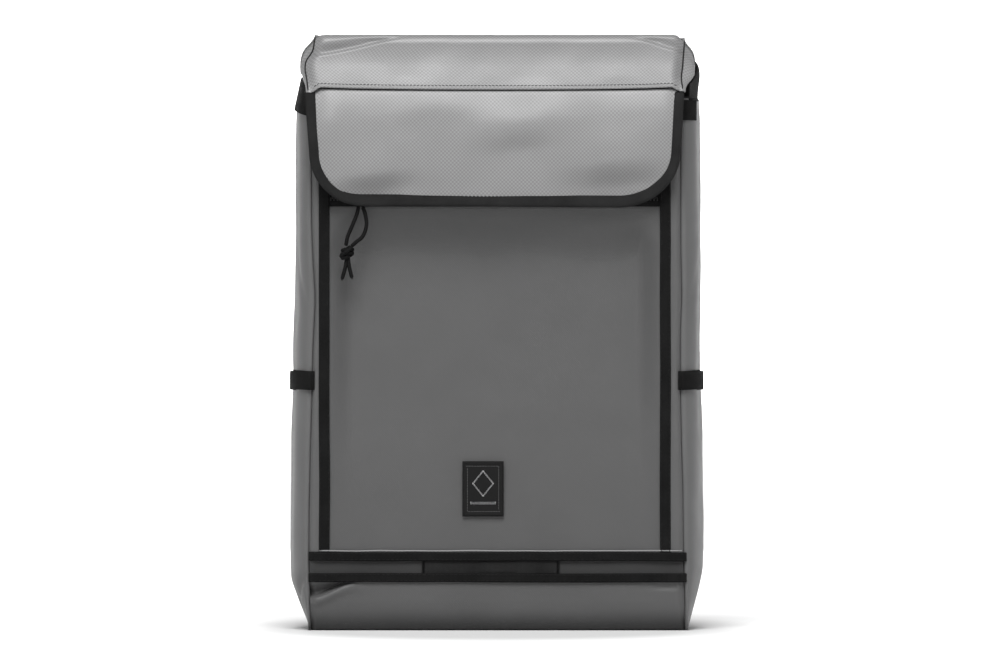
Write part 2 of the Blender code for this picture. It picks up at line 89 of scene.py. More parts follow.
class Nodes:
    """Short calls for a material's nodes."""

    def __init__(self, name):
        self.material = bpy.data.materials.new(name)
        self.material.use_nodes = True
        self.tree = self.material.node_tree
        self.shader = self.tree.nodes["Principled BSDF"]

    def add(self, kind, **settings):
        node = self.tree.nodes.new(kind)
        for key, value in settings.items():
            setattr(node, key, value)
        return node

    def join(self, source, target):
        self.tree.links.new(source, target)

    def put(self, value, socket):
        """A socket's link, or its constant."""
        if hasattr(value, "is_linked"):
            self.join(value, socket)
        else:
            socket.default_value = value

    def math(self, operation, a, b=0.0):
        node = self.add("ShaderNodeMath", operation=operation)
        self.put(a, node.inputs[0])
        self.put(b, node.inputs[1])
        return node.outputs[0]

    def cloth(self):
        """The point on the cloth, in metres along it, as X and Y."""
        split = self.add("ShaderNodeSeparateXYZ")
        self.join(self.add("ShaderNodeAttribute", attribute_name="cloth").outputs["Vector"], split.inputs[0])
        return split.outputs[0], split.outputs[1]

    def wave(self, along, pitch):
        """A sine along a distance, from -1 to 1."""
        return self.math("SINE", self.math("MULTIPLY", along, 2 * math.pi / pitch))

    def noise(self, scale, detail=3.0):
        node = self.add("ShaderNodeTexNoise")
        node.inputs["Scale"].default_value = scale
        node.inputs["Detail"].default_value = detail
        self.join(self.add("ShaderNodeTexCoord").outputs["Object"], node.inputs["Vector"])
        return node.outputs["Fac"]

    def ramp(self, value, low, high, dark, light):
        """The value, between low and high, as a colour from dark to light."""
        node = self.add("ShaderNodeValToRGB")
        node.color_ramp.elements[0].position = low
        node.color_ramp.elements[1].position = high
        node.color_ramp.elements[0].color = (dark, dark, dark * 1.005, 1.0)
        node.color_ramp.elements[1].color = (light, light, light * 1.005, 1.0)
        self.join(value, node.inputs[0])
        return node.outputs[0]

    def painted_shade_low(self, colour, share):
        """The colour, scaled down to this share of it in a wavy band about 22 mm deep along the ground:
        painted shade where the cloth rolls under towards the floor.
        """
        split = self.add("ShaderNodeSeparateXYZ")
        self.join(self.add("ShaderNodeTexCoord").outputs["Object"], split.inputs[0])
        height = self.math("ADD", split.outputs[2], self.math("MULTIPLY", self.noise(30.0), 0.004))
        reach = self.add("ShaderNodeMapRange", interpolation_type="SMOOTHSTEP")
        for key, value in (("From Min", 0.0), ("From Max", 0.022), ("To Min", share), ("To Max", 1.0)):
            reach.inputs[key].default_value = value
        self.join(height, reach.inputs["Value"])
        scale = self.add("ShaderNodeVectorMath", operation="SCALE")
        self.join(colour, scale.inputs[0])
        self.join(reach.outputs[0], scale.inputs["Scale"])
        return scale.outputs[0]

    def relief(self, height, distance):
        bump = self.add("ShaderNodeBump")
        bump.inputs["Distance"].default_value = distance
        self.join(height, bump.inputs["Height"])
        self.join(bump.outputs[0], self.shader.inputs["Normal"])

    def finish(self, colour, rough_low, rough_high, sheen=0.0, gloss=0.5):
        self.join(colour, self.shader.inputs["Base Color"])
        spread = self.add("ShaderNodeMapRange")
        spread.inputs["To Min"].default_value = rough_low
        spread.inputs["To Max"].default_value = rough_high
        self.join(self.noise(60.0), spread.inputs["Value"])
        self.join(spread.outputs[0], self.shader.inputs["Roughness"])
        self.shader.inputs["Sheen Weight"].default_value = sheen
        self.shader.inputs["Specular IOR Level"].default_value = gloss
        return self.material


def coated_cloth(name, shade, pitch, relief, contrast, roughness, gloss=0.35, painted_shade_share=1.0):
    """Coated cloth whose scrim shows as fine diamonds, with soft scuffs. The last argument is the share of
    its tone left at the ground, a painted shade that darkens it towards the bottom.
    """
    nodes = Nodes(name)
    u, v = nodes.cloth()
    diamonds = nodes.math("MULTIPLY", nodes.wave(u, pitch), nodes.wave(v, pitch))
    patches = nodes.math("MULTIPLY", nodes.noise(22.0), 0.25)
    level = nodes.math("ADD", nodes.math("MULTIPLY", diamonds, contrast), patches)
    colour = nodes.ramp(nodes.math("ADD", level, 0.375), 0.0, 1.0, shade * 0.70, shade * 1.30)
    # painted shade: the cloth darkens towards the ground where it rolls under
    if painted_shade_share < 1.0:
        colour = nodes.painted_shade_low(colour, painted_shade_share)
    grain = nodes.math("MULTIPLY", nodes.noise(1800.0, 2.0), 0.5)
    nodes.relief(nodes.math("ADD", diamonds, grain), relief)
    return nodes.finish(colour, roughness - 0.06, roughness + 0.06, gloss=gloss)


def woven_tape(name, shade, pitch, relief=0.00012, roughness=0.75):
    """Webbing with ribs along it and picks across it, laid like bricks."""
    nodes = Nodes(name)
    u, v = nodes.cloth()
    ribs = nodes.wave(u, pitch)
    picks = nodes.wave(nodes.math("ADD", v, nodes.math("MULTIPLY", ribs, pitch / 5)), pitch * 0.8)
    weave = nodes.math("MULTIPLY", ribs, picks)
    level = nodes.math("ADD", nodes.math("MULTIPLY", weave, 0.35), nodes.noise(40.0))
    colour = nodes.ramp(level, 0.1, 0.9, shade * 0.55, shade * 1.6)
    nodes.relief(weave, relief)
    return nodes.finish(colour, roughness - 0.05, roughness + 0.1, gloss=0.08)


def air_mesh(name, shade):
    """Spacer mesh with rows of small round holes."""
    nodes = Nodes(name)
    u, v = nodes.cloth()
    pitch = 0.0034
    holes = nodes.math("MULTIPLY", nodes.wave(nodes.math("ADD", u, nodes.math("MULTIPLY", v, 0.5)), pitch),
                       nodes.wave(v, pitch * 0.9))
    colour = nodes.ramp(holes, 0.25, 0.75, shade * 1.5, shade * 0.25)
    nodes.relief(nodes.math("MULTIPLY", holes, -1.0), 0.0005)
    return nodes.finish(colour, 0.8, 0.95, gloss=0.10)


def braid(name, shade, around):
    """Braided cord: two crossing sets of strands round its girth."""
    nodes = Nodes(name)
    u, v = nodes.cloth()
    turn = nodes.math("MULTIPLY", u, 4 * around)
    first = nodes.wave(nodes.math("ADD", turn, v), around * 2)
    second = nodes.wave(nodes.math("SUBTRACT", turn, v), around * 2)
    weave = nodes.math("MULTIPLY", first, second)
    colour = nodes.ramp(weave, 0.0, 1.0, shade * 0.5, shade * 1.8)
    nodes.relief(weave, 0.00018)
    return nodes.finish(colour, 0.6, 0.8, gloss=0.10)


def moulded(name, shade, roughness, metallic=0.0):
    """Moulded or enamelled part, with a fine spark texture and handling marks."""
    nodes = Nodes(name)
    marks = nodes.noise(90.0, 6.0)
    colour = nodes.ramp(marks, 0.35, 0.75, shade * 0.85, shade * 1.35)
    nodes.relief(nodes.noise(3500.0, 1.0), 0.00003)
    nodes.shader.inputs["Metallic"].default_value = metallic
    return nodes.finish(colour, roughness - 0.08, roughness + 0.1, gloss=0.25)


def thread(name, shade):
    nodes = Nodes(name)
    twist = nodes.noise(2500.0, 1.0)
    colour = nodes.ramp(twist, 0.3, 0.7, shade * 0.7, shade * 1.3)
    nodes.relief(twist, 0.0001)
    return nodes.finish(colour, 0.6, 0.75, gloss=0.10)


MATERIALS = {
    "flap_grey": coated_cloth("tarpaulin", 0.190, 0.0032, 0.00003, 0.42, 0.42, 0.40),
    "border_grey": coated_cloth("border_cloth", 0.078, 0.0015, 0.00003, 0.06, 0.50, 0.3),
    # the base cloth carries painted shade towards the ground
    "base_grey": coated_cloth("base_cloth", 0.067, 0.0015, 0.00003, 0.06, 0.50, 0.3, 0.30),
    "strip_grey": coated_cloth("strip_cloth", 0.027, 0.0015, 0.00003, 0.06, 0.6, 0.2),
    "patch_black": coated_cloth("patch_cloth_black", 0.010, 0.0009, 0.00005, 0.3, 0.75, 0.08),
    "panel_grey": coated_cloth("front_cloth", 0.068, 0.0015, 0.00003, 0.06, 0.50, 0.3),
    # The side cloth is the front cloth made lighter: painted light on the sides.
    "side_grey": coated_cloth("side_cloth", 0.090, 0.0015, 0.00003, 0.06, 0.50, 0.3),
    "black_fabric": coated_cloth("black_cloth", 0.012, 0.0012, 0.00005, 0.3, 0.75, 0.15),
    "liner": coated_cloth("lining_cloth", 0.036, 0.004, 0.00004, 0.25, 0.5),
    "webbing": woven_tape("black_webbing", 0.0062, 0.0013),
    "lash_webbing": woven_tape("lash_webbing", 0.014, 0.0013),
    "binding": woven_tape("edge_tape", 0.0135, 0.0009, 0.00006, 0.8),
    "spacer_mesh": air_mesh("air_mesh", 0.014),
    "cord": braid("braided_cord", 0.008, 0.0016),
    "black_plastic": moulded("moulded_black", 0.010, 0.42),
    "zip_metal": moulded("black_enamel", 0.018, 0.36, 0.6),
    "board": moulded("stiff_board", 0.05, 0.6),
    "grey_thread": thread("grey_thread", 0.10),
    "black_thread": thread("black_thread", 0.010),
    "binding_thread": thread("binding_thread", 0.015),
    "pale_thread": thread("pale_thread", 0.5),
}


# Mesh building

def piece(name, points, faces, cloth, look, body="pack", stands_for=(), sharp=45):
    """One smooth mesh that rides on a body. cloth gives each point's place along the cloth, in metres."""
    mesh = bpy.data.meshes.new(name)
    mesh.from_pydata([tuple(point) for point in points], [], faces)
    layer = mesh.attributes.new("cloth", "FLOAT_VECTOR", "POINT")
    layer.data.foreach_set("vector", [value for u, v in cloth for value in (u, v, 0.0)])
    mesh.shade_smooth()
    mesh.set_sharp_from_angle(angle=math.radians(sharp))
    mesh.materials.append(MATERIALS[look])
    obj = bpy.data.objects.new(name, mesh)
    bpy.context.scene.collection.objects.link(obj)
    if body:
        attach(obj, body)
    if stands_for:
        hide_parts(*stands_for)
    return obj


def grid_faces(rows, columns, start=0, closed=False):
    """Quads between rows of points that follow each other. A closed row's last point joins its first."""
    faces = []
    for i in range(rows - 1):
        for j in range(columns if closed else columns - 1):
            k = (j + 1) % columns
            a = start + i * columns
            faces.append((a + j, a + k, a + columns + k, a + columns + j))
    return faces


def capped_faces(rows, columns, start=0):
    """The faces of a closed form: quads between its rings, and one face over each end."""
    faces = grid_faces(rows, columns, start, closed=True)
    faces.append(tuple(start + k for k in range(columns))[::-1])
    faces.append(tuple(start + (rows - 1) * columns + k for k in range(columns)))
    return faces


def sheet_faces(across, up):
    """The faces of a sheet: its outer and inner grids, and the hem between their rims."""
    columns = across + 1
    count = columns * (up + 1)
    outer = grid_faces(up + 1, columns)
    inner = [tuple(count + k for k in face[::-1]) for face in outer]
    right = [i * columns + across for i in range(1, up + 1)]
    top = [up * columns + j for j in range(across - 1, -1, -1)]
    left = [i * columns for i in range(up - 1, 0, -1)]
    rim = [*range(columns), *right, *top, *left]
    return outer + inner + [(a, count + a, count + b, b) for a, b in zip(rim, rim[1:] + rim[:1])]


def turn_outwards(mesh):
    """Turns every face over if the closed mesh is inside out."""
    volume = 0.0
    points = mesh.vertices
    for face in mesh.polygons:
        a = points[face.vertices[0]].co
        for j, k in zip(face.vertices[1:], face.vertices[2:]):
            volume += a.dot(points[j].co.cross(points[k].co))
    if volume < 0:
        mesh.flip_normals()


def closed_piece(*details, **settings):
    """What piece() makes of the same arguments, for a form without open edges. Its faces look outwards."""
    obj = piece(*details, **settings)
    turn_outwards(obj.data)
    return obj


def cloth_sheet(name, shape, steps, size, thickness, look, body="pack", stands_for=(), sharp=45, flip=False,
                weave=None):
    """A sheet of cloth with both faces and a hem.

    shape(u, v) is a point on its outer face, for u and v from 0 to 1. u runs to the right and v runs up
    as seen from outside, unless flip is set. size is what it was cut to, and weave(u, v) is the point's place
    on the cloth.
    """
    across, up = steps
    outer = [[Vector(shape(j / across, i / up)) for j in range(across + 1)] for i in range(up + 1)]
    inner = []
    for i in range(up + 1):
        for j in range(across + 1):
            du = outer[i][min(j + 1, across)] - outer[i][max(j - 1, 0)]
            dv = outer[min(i + 1, up)][j] - outer[max(i - 1, 0)][j]
            normal = du.cross(dv).normalized() * (-1 if flip else 1)
            inner.append(outer[i][j] - normal * thickness)
    points = [point for row in outer for point in row] + inner
    faces = sheet_faces(across, up)
    if flip:
        faces = [face[::-1] for face in faces]
    weave = weave or (lambda u, v: (size[0] * u, size[1] * v))
    cloth = [weave(j / across, i / up) for i in range(up + 1) for j in range(across + 1)] * 2
    obj = piece(name, points, faces, cloth, look, body, stands_for, sharp)
    return obj


def smooth_route(points, steps):
    """A Catmull-Rom curve through the points, with this many steps between each two."""
    route = [Vector(point) for point in points]
    ends = [2 * route[0] - route[1], *route, 2 * route[-1] - route[-2]]
    curve = []
    for a, b, c, d in zip(ends, ends[1:], ends[2:], ends[3:]):
        for i in range(steps):
            t = i / steps
            curve.append(0.5 * (2 * b + (c - a) * t + (2 * a - 5 * b + 4 * c - d) * t ** 2
                                + (3 * b - a - 3 * c + d) * t ** 3))
    return [*curve, route[-1]]


def mirrored(points, side):
    return [Vector((side * x, y, z)) for x, y, z in points]


def sampled(steps, point):
    """point(share) as a vector, at evenly spaced shares from 0 to 1."""
    return [Vector(point(i / steps)) for i in range(steps + 1)]


def tangent_at(route, i):
    return (route[min(i + 1, len(route) - 1)] - route[max(i - 1, 0)]).normalized()


def square_to(tangent, towards):
    """The direction square to the tangent that is nearest to towards."""
    return (towards - towards.dot(tangent) * tangent).normalized()


def distances(route):
    """How far along the route each of its points is."""
    travelled = [0.0]
    for a, b in zip(route, route[1:]):
        travelled.append(travelled[-1] + (b - a).length)
    return travelled


def swept(name, route, section, look, body="pack", stands_for=(), facing=FRONT, sharp=45):
    """Sweeps a closed section along the route. section(t) lists (across, out) in metres, anticlockwise.

    facing is roughly where the strip's outer face looks, as a direction or as a function of t.
    """
    rings = []
    cloth = []
    for i, (point, way) in enumerate(zip(route, distances(route))):
        t = i / (len(route) - 1)
        tangent = tangent_at(route, i)
        out = square_to(tangent, facing(t) if callable(facing) else facing)
        across = tangent.cross(out)
        girth = section(t)
        rings += [point + across * w + out * h for w, h in girth]
        cloth += [(w, way) for w, h in girth]
    faces = capped_faces(len(route), len(girth))
    return closed_piece(name, rings, faces, cloth, look, body, stands_for, sharp)


def flat_section(width, thickness, crown=0.0):
    """A tape's section with soft edges, thicker by crown in the middle."""
    half = width / 2
    deep = thickness / 2
    cut = min(deep * 0.7, half * 0.3)
    top = [(-half + cut, deep), (-half * 0.4, deep + crown), (half * 0.4, deep + crown), (half - cut, deep)]
    return [(half, deep - cut), *top[::-1], (-half, deep - cut), (-half, cut - deep), (-half + cut, -deep),
            (half - cut, -deep), (half, cut - deep)]


def strap(name, route, width, thickness, look, body="pack", stands_for=(), facing=FRONT):
    return swept(name, route, lambda t: flat_section(width, thickness), look, body, stands_for, facing)


def circle(centre, across, out, radius, sides):
    """Points round a centre, starting across and turning outwards."""
    turns = [2 * math.pi * k / sides for k in range(sides)]
    return [centre + (across * math.cos(turn) + out * math.sin(turn)) * radius for turn in turns]


def round_cloth(radius, sides, way):
    """The places on the cloth of a circle's points, at a distance along the thread."""
    return [(radius * 2 * math.pi * k / sides, way) for k in range(sides)]


def tube(name, route, radius, look, body="pack", stands_for=(), sides=10, round_ends=True):
    """A round cord or bead along the route."""
    rings = []
    cloth = []
    across = None
    narrow = (0, len(route) - 1) if round_ends else ()
    for i, (point, way) in enumerate(zip(route, distances(route))):
        tangent = tangent_at(route, i)
        seed = across or (UP.cross(tangent) if abs(tangent.z) < 0.9 else RIGHT)
        across = square_to(tangent, seed)
        rings += circle(point, across, tangent.cross(across), radius * (0.7 if i in narrow else 1.0), sides)
        cloth += round_cloth(radius, sides, way)
    return closed_piece(name, rings, capped_faces(len(route), sides), cloth, look, body, stands_for, 60)


def stitches(name, route, look, body="pack", length=0.0026, gap=0.0012, out=FRONT, radius=STITCH):
    """A row of separate stitches along a route, each a short thread that dips into the cloth at both ends."""
    points = []
    faces = []
    cloth = []
    travelled = 0.0
    due = gap
    for a, b in zip(route, route[1:]):
        step = (b - a).length
        way = (b - a).normalized()
        while due < travelled + step:
            start = a + (b - a) * ((due - travelled) / step)
            faces += capped_faces(len(STITCH_ARCH), STITCH_SIDES, len(points))
            for share, rise in STITCH_ARCH:
                centre = start + way * length * share + out * radius * rise
                points += circle(centre, way.cross(out).normalized(), out, radius, STITCH_SIDES)
                cloth += round_cloth(radius, STITCH_SIDES, length * share)
            due += length + gap
        travelled += step
    return closed_piece(name, points, faces, cloth, look, body, (), 60)


def stitch_rows(name, route, shifts, look, body="pack", out=FRONT):
    """A numbered row of stitches for each shift of the route."""
    for number, shift in enumerate(shifts):
        stitches(f"{name}_{number}", [point + shift for point in route], look, body, out=out)


def zigzag(name, start, end, throw, steps, look, body="pack", radius=0.0003, sides=5):
    """A dense zigzag of thread from start to end, thrown to each side in turn."""
    line = [mix(start, end, i / steps) + throw * (1 if i % 2 else -1) for i in range(steps + 1)]
    tube(name, line, radius, look, body, sides=sides, round_ends=False)


def ripple(x, y, z, scale, seed=0.0):
    """Soft wrinkles: noise from -1 to 1, repeatable."""
    return noise.noise(Vector((x * scale, y * scale + seed, z * scale)))


def fade(value, low, high):
    """0 below low, 1 above high, smooth between."""
    t = min(max((value - low) / (high - low), 0.0), 1.0)
    return t * t * (3 - 2 * t)


def bell(value, width):
    """A soft bump, 1 at 0 and gone at about twice the width."""
    return math.exp(-(value / width) ** 2)


def mix(a, b, t):
    return a + (b - a) * t


# Front of the pack

# (height, how far out) of the front seam and of the outline seen from the front, on each side
SEAM_LINE = {
    -1: ((0.0, 0.1570), (0.0450, 0.1578), (0.0660, 0.1580), (0.1000, 0.1578), (0.1520, 0.1568),
         (0.2000, 0.1553), (0.2350, 0.1547), (0.2700, 0.1530), (0.2820, 0.1528), (0.3100, 0.1545),
         (0.3400, 0.1557), (0.4475, 0.1560)),
    1: ((0.0, 0.1578), (0.0450, 0.1564), (0.0660, 0.1558), (0.1200, 0.1553), (0.1520, 0.1543),
        (0.2000, 0.1532), (0.2500, 0.1532), (0.2820, 0.1544), (0.3200, 0.1536), (0.4475, 0.1532)),
}
OUTLINE = {
    -1: ((0.0, 0.1562), (0.0040, 0.1576), (0.0217, 0.1657), (0.0420, 0.1731), (0.0660, 0.1733),
         (0.1520, 0.1727), (0.2000, 0.1722), (0.2350, 0.1717), (0.2800, 0.1704), (0.3366, 0.1694),
         (0.4300, 0.1692), (0.4475, 0.1680)),
    1: ((0.0, 0.1590), (0.0040, 0.1604), (0.0330, 0.1684), (0.0500, 0.1724), (0.0660, 0.1727),
        (0.1520, 0.1720), (0.1950, 0.1713), (0.2200, 0.1702), (0.2500, 0.1702), (0.3366, 0.1705),
        (0.4300, 0.1702), (0.4475, 0.1690)),
}
OUTLINE_FROM_AFAR = 1.0085
SEAM_ROLL = 0.0034
TAPE_SHIFT = -0.0023
TAPE_SEAM = 0.0011
SINK_DEPTH = 0.0158
PANEL_CROWN = 0.0022


def along(profile, value):
    """Between a profile's (value, result) pairs, rounded off at the joins."""
    return sum(straight_along(profile, value + shift) for shift in (-0.003, 0.0, 0.003)) / 3


def straight_along(profile, value):
    value = min(max(value, profile[0][0]), profile[-1][0])
    for (a, low), (b, high) in zip(profile, profile[1:]):
        if value <= b:
            return mix(low, high, (value - a) / (b - a))
    return profile[-1][1]


def seam_x(z, side):
    return along(SEAM_LINE[side], z)


def side_x(y, z, side):
    """How far out the side panel is. It swells behind the front seam and tucks in at the base."""
    depth = min(max((y - SIDE_FRONT_Y) / (SIDE_BACK_Y - SIDE_FRONT_Y), 0.0), 1.0)
    if depth < 0.66:
        swell = math.sin(math.pi * depth ** 0.55 * 0.80)
    else:
        swell = 1 - 0.42 * ((depth - 0.45) / 0.55) ** 2
    start = seam_x(z, side) + SEAM_ROLL * 0.6
    return start + (along(OUTLINE[side], z) * OUTLINE_FROM_AFAR - start) * swell


def sunk_under_zip(x, z):
    """How far the front panel sinks in below the stiff zip, a little deeper and lower on the right."""
    lower = 0.317 - 0.009 * bell(x - 0.085, 0.034) - 0.004 * bell(x + 0.010, 0.012)
    return SINK_DEPTH * (1 - fade(z, lower, 0.356)) * fade(z, 0.05, 0.34)


def make_front_panel():
    low = LASH[1] - 0.0025
    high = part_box("front_panel")[1].z

    def shape(u, v):
        x = mix(-PANEL_HALF, PANEL_HALF, u) * 1.02 + TAPE_SHIFT
        z = mix(low, high, v)
        pillow = math.sin(math.pi * u) ** 0.5 * math.sin(math.pi * min(v * 1.02, 1.0)) ** 0.5
        dents = 0.0009 * ripple(x, 0.0, z, 9.0) + 0.0003 * ripple(x, 1.0, z, 40.0)
        across = fade(0.5 - abs(u - 0.5), 0.0, 0.08)
        return x, FRONT_Y - (PANEL_CROWN + dents) * pillow + sunk_under_zip(x, z) * across, z

    cloth_sheet("front_panel_cloth", shape, (90, 120), (2 * PANEL_HALF, high - low), CLOTH, "panel_grey",
                stands_for=["front_panel"])
    edge = [point + BACK * 0.0005 for point in sampled(60, lambda t: shape(t, 0.995))]
    tube("front_panel_fold", edge, 0.0007, "panel_grey")
    # The lower fold is made in the paler tarpaulin: a painted highlight along the panel's edge above the
    # bands.
    hem = sampled(60, lambda t: (mix(-0.150, 0.155, t), FRONT_Y - 0.0024,
                                 LASH[1] + 0.0012 + 0.0004 * ripple(60 * t, 1, 2, 0.21)))
    tube("front_panel_lower_fold", hem, 0.00055, "flap_grey")


def make_yoke():
    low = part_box("front_yoke_panel")[0].z
    high = WALL_TOP

    def shape(u, v):
        x = mix(-PANEL_HALF, PANEL_HALF, u)
        z = mix(low, high, v)
        return x, FRONT_Y + 0.0004 - 0.0008 * math.sin(math.pi * v) * (1 + 0.6 * ripple(x, 0.0, z, 25.0)), z

    cloth_sheet("front_yoke_cloth", shape, (60, 16), (2 * PANEL_HALF, high - low), CLOTH, "panel_grey",
                stands_for=["front_yoke_panel"])
    make_pile_strip("loop_strip", "closure_loop_strip", "pack", FRONT, lambda x, z: FRONT_Y - 0.0022)


def make_pile_strip(name, node, body, out, face):
    """Hook or loop tape whose outer face, at depth face(x, z), bristles."""
    low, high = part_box(node)

    def shape(u, v):
        x = mix(low.x, high.x, u)
        z = mix(low.z, high.z, v)
        return x, face(x, z) + 0.0003 * ripple(x, 0.0, z, 900.0), z

    cloth_sheet(name, shape, (150, 24), (high.x - low.x, high.z - low.z), 0.0012, "webbing", body, [node],
                flip=out.y > 0)
    for number, z in enumerate((low.z + 0.0015, high.z - 0.0015)):
        across = [mix(low.x, high.x, 0.01 + 0.98 * i / 40) for i in range(41)]
        row = [Vector((x, face(x, z), z)) for x in across]
        stitches(f"{name}_stitch_{number}", row, "binding_thread", body, out=out)


def make_border(side, name):
    """The grey strip between the black tape and the side seam, rolled over at its outer edge."""
    low = LASH[1] - 0.0025
    high = WALL_TOP
    inner = tape_x(side) * side - 0.002

    def shape(u, v):
        z = mix(low, high, v)
        lean = u if side > 0 else 1 - u
        x = mix(inner, seam_x(z, side) + 0.0002, lean)
        roll = SEAM_ROLL * (1 - math.sqrt(1 - fade(lean, 0.62, 1.0) ** 2 * 0.98))
        soft = 0.0006 * ripple(x, 3.0 * side, z, 26.0) + 0.0004 * ripple(x, 6.0 * side, z, 70.0)
        return side * x, FRONT_Y - 0.0008 + roll - soft * math.sin(math.pi * lean), z

    cloth_sheet(f"front_border_cloth_{name}", shape, (18, 120), (0.013, high - low), 0.0015, "border_grey",
                stands_for=[f"front_border_{name}"])


def tape_x(side):
    """The middle of a front tape. Both tapes are shifted a little to the left."""
    low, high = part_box("front_tape_left" if side < 0 else "front_tape_right")
    return (low.x + high.x) / 2 + TAPE_SHIFT


def make_front_tape(side, name):
    low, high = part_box(f"front_tape_{name}")
    width = high.x - low.x

    def place(t):
        z = mix(LASH[1] - 0.002, high.z, t)
        x = tape_x(side) + 0.0006 * ripple(0.0, side, z, 12.0)
        return x, low.y - 0.0009 + 0.0004 * ripple(1.0, side, z, 10.0), z

    route = sampled(60, place)
    strap(f"front_tape_weave_{name}", route, width, WEBBING, "webbing", stands_for=[f"front_tape_{name}"])
    edge = width / 2 - TAPE_SEAM
    shifts = [RIGHT * offset + FRONT * (WEBBING / 2) for offset in (-edge, edge)]
    stitch_rows(f"front_tape_stitch_{name}", route, shifts, "black_thread")


# A zip tooth's outline seen from above
TOOTH = ((-0.0005, 0.0004), (0.0005, 0.0004), (0.0003, -0.0006), (-0.0003, -0.0006))


def make_zip():
    """Zip tape with two rows of interlocked coil teeth."""
    low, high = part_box("front_zip")
    width = high.z - low.z
    x0 = low.x + TAPE_SHIFT
    x1 = high.x + TAPE_SHIFT
    route = sampled(40, lambda t: (mix(x0, x1, t), FRONT_Y - 0.0006, ZIP_Z))
    strap("zip_tape", route, width, 0.0012, "webbing", stands_for=["front_zip"])
    pitch = 0.0014
    count = int((x1 - x0) / pitch)
    points = []
    faces = []
    for i in range(count):
        sign = 1 if i % 2 else -1
        centre = Vector((x0 + pitch * (i + 0.5), FRONT_Y - 0.00165, ZIP_Z + sign * 0.0007))
        faces += capped_faces(2, len(TOOTH), len(points))
        points += [centre + Vector((dx, dy, dz)) for dz in (-0.0014, 0.0014) for dx, dy in TOOTH]
    closed_piece("zip_teeth", points, faces, [(point.x, point.z) for point in points], "black_plastic")


# Half the embroidered diamond's width and height
DIAMOND = (0.0085, 0.0105)


def make_patch():
    """A sewn patch with a raised border, a plain embroidered diamond and a bar below it."""
    low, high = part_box("plain_patch")
    middle = (low + high) / 2
    half = (high - low) / 2
    y = FRONT_Y - 0.0032
    border = 0.0036

    def shape(u, v):
        x = mix(low.x, high.x, u)
        z = mix(low.z, high.z, v)
        edge = min(min(u, 1 - u) * 2 * half.x, min(v, 1 - v) * 2 * half.z)
        roll = 0.0007 * (1 - fade(edge, 0.0, 0.0012))
        rim = 0.0004 * (1 - fade(edge, border - 0.0008, border))
        return x, y + roll - rim - 0.0002 * ripple(x, 0.0, z, 60.0), z

    cloth_sheet("patch_cloth", shape, (70, 94), (2 * half.x, 2 * half.z), 0.0012, "patch_black",
                stands_for=["plain_patch"])
    for number, inset in enumerate((0.0012, border + 0.0006)):
        corners = [Vector((middle.x + sx * (half.x - inset), y - 0.0005 * (1 - number),
                           middle.z + sz * (half.z - inset)))
                   for sx, sz in ((-1, -1), (1, -1), (1, 1), (-1, 1), (-1, -1))]
        look = ("black_thread", "grey_thread")[number]
        stitches(f"patch_stitch_{number}", corners, look, length=0.0016, gap=0.0007, radius=0.00022)
    wide, tall = DIAMOND
    points = [Vector((middle.x + x, y, middle.z + 0.0045 + z))
              for x, z in ((0, tall), (wide, 0), (0, -tall), (-wide, 0), (0, tall))]
    for number, (a, b) in enumerate(zip(points, points[1:])):
        satin_bar(f"patch_diamond_{number}", a, b, 0.00055, 40)
    start, end = (Vector((middle.x + x, y, middle.z - 0.0120)) for x in (-0.0105, 0.0105))
    satin_bar("patch_bar", start, end, 0.0011, 60)


def satin_bar(name, start, end, half, steps):
    """A raised bar of close parallel threads, laid across the line from start to end."""
    throw = (end - start).normalized().cross(FRONT) * half
    lift = FRONT * 0.0002
    zigzag(name, start + lift, end + lift, throw, steps, "pale_thread", radius=0.00028, sides=6)


def make_lash_bands():
    """Two bands of webbing over a dark strip, with a patch bar-tacked between them."""
    low, high = LASH
    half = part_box("lash_band_lower")[1].x
    face = FRONT_Y - 0.0008

    def strip(u, v):
        z = mix(low, high, v)
        x = mix(-seam_x(z, -1), seam_x(z, 1), u)
        return x, FRONT_Y - 0.0002 + 0.0006 * ripple(x, 5.0, z, 30.0), z

    cloth_sheet("lash_strip_cloth", strip, (100, 8), (0.315, high - low), 0.0014, "strip_grey",
                stands_for=["lash_strip"])
    for node in ("lash_band_lower", "lash_band_upper"):
        bottom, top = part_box(node)
        z = (bottom.z + top.z) / 2
        route = [Vector((x, band_y(x, half, face), z + 0.0007 * ripple(x, z * 50, 0, 16.0)))
                 for x in (mix(-half, half, i / 80) for i in range(81))]
        strap(f"{node}_weave", route, top.z - bottom.z + 0.0004, WEBBING, "webbing", stands_for=[node])
        edge = top.z - z - TAPE_SEAM
        shifts = [UP * offset + FRONT * (WEBBING / 2) for offset in (-edge, edge)]
        stitch_rows(f"{node}_stitch", route, shifts, "black_thread")
    bottom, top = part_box("lash_patch")
    z = (bottom.z + top.z) / 2
    route = sampled(30, lambda t: (mix(bottom.x, top.x, t), face - 0.0002, z))
    strap("lash_patch_weave", route, top.z - bottom.z + 0.001, WEBBING * 0.8, "lash_webbing",
          stands_for=["lash_patch"])
    for number, x in enumerate((bottom.x, top.x)):
        bar_tack(f"lash_tack_{number}", Vector((x, face - WEBBING * 0.6, z)), 0.0120)


def band_y(x, half, face):
    """The band's depth: it rolls back over the side seams at its ends."""
    return face - WEBBING / 2 - 0.0012 + 0.0030 * fade(abs(x), half - 0.006, half)


def bar_tack(name, centre, height, body="pack", out=FRONT):
    """A dense zigzag of thread that locks two layers of webbing."""
    foot = centre - UP * (height / 2) + out * 0.0003
    zigzag(name, foot, foot + UP * height, out.cross(UP) * 0.0011, 34, "black_thread", body)


# Base and sides

BASE_ROLL = 0.026
BASE_DEPTH = 0.0115
BASE_VALLEY = 0.0072
BASE_PLEAT = 0.0042
SIDE_STRAP_Z = 0.2115


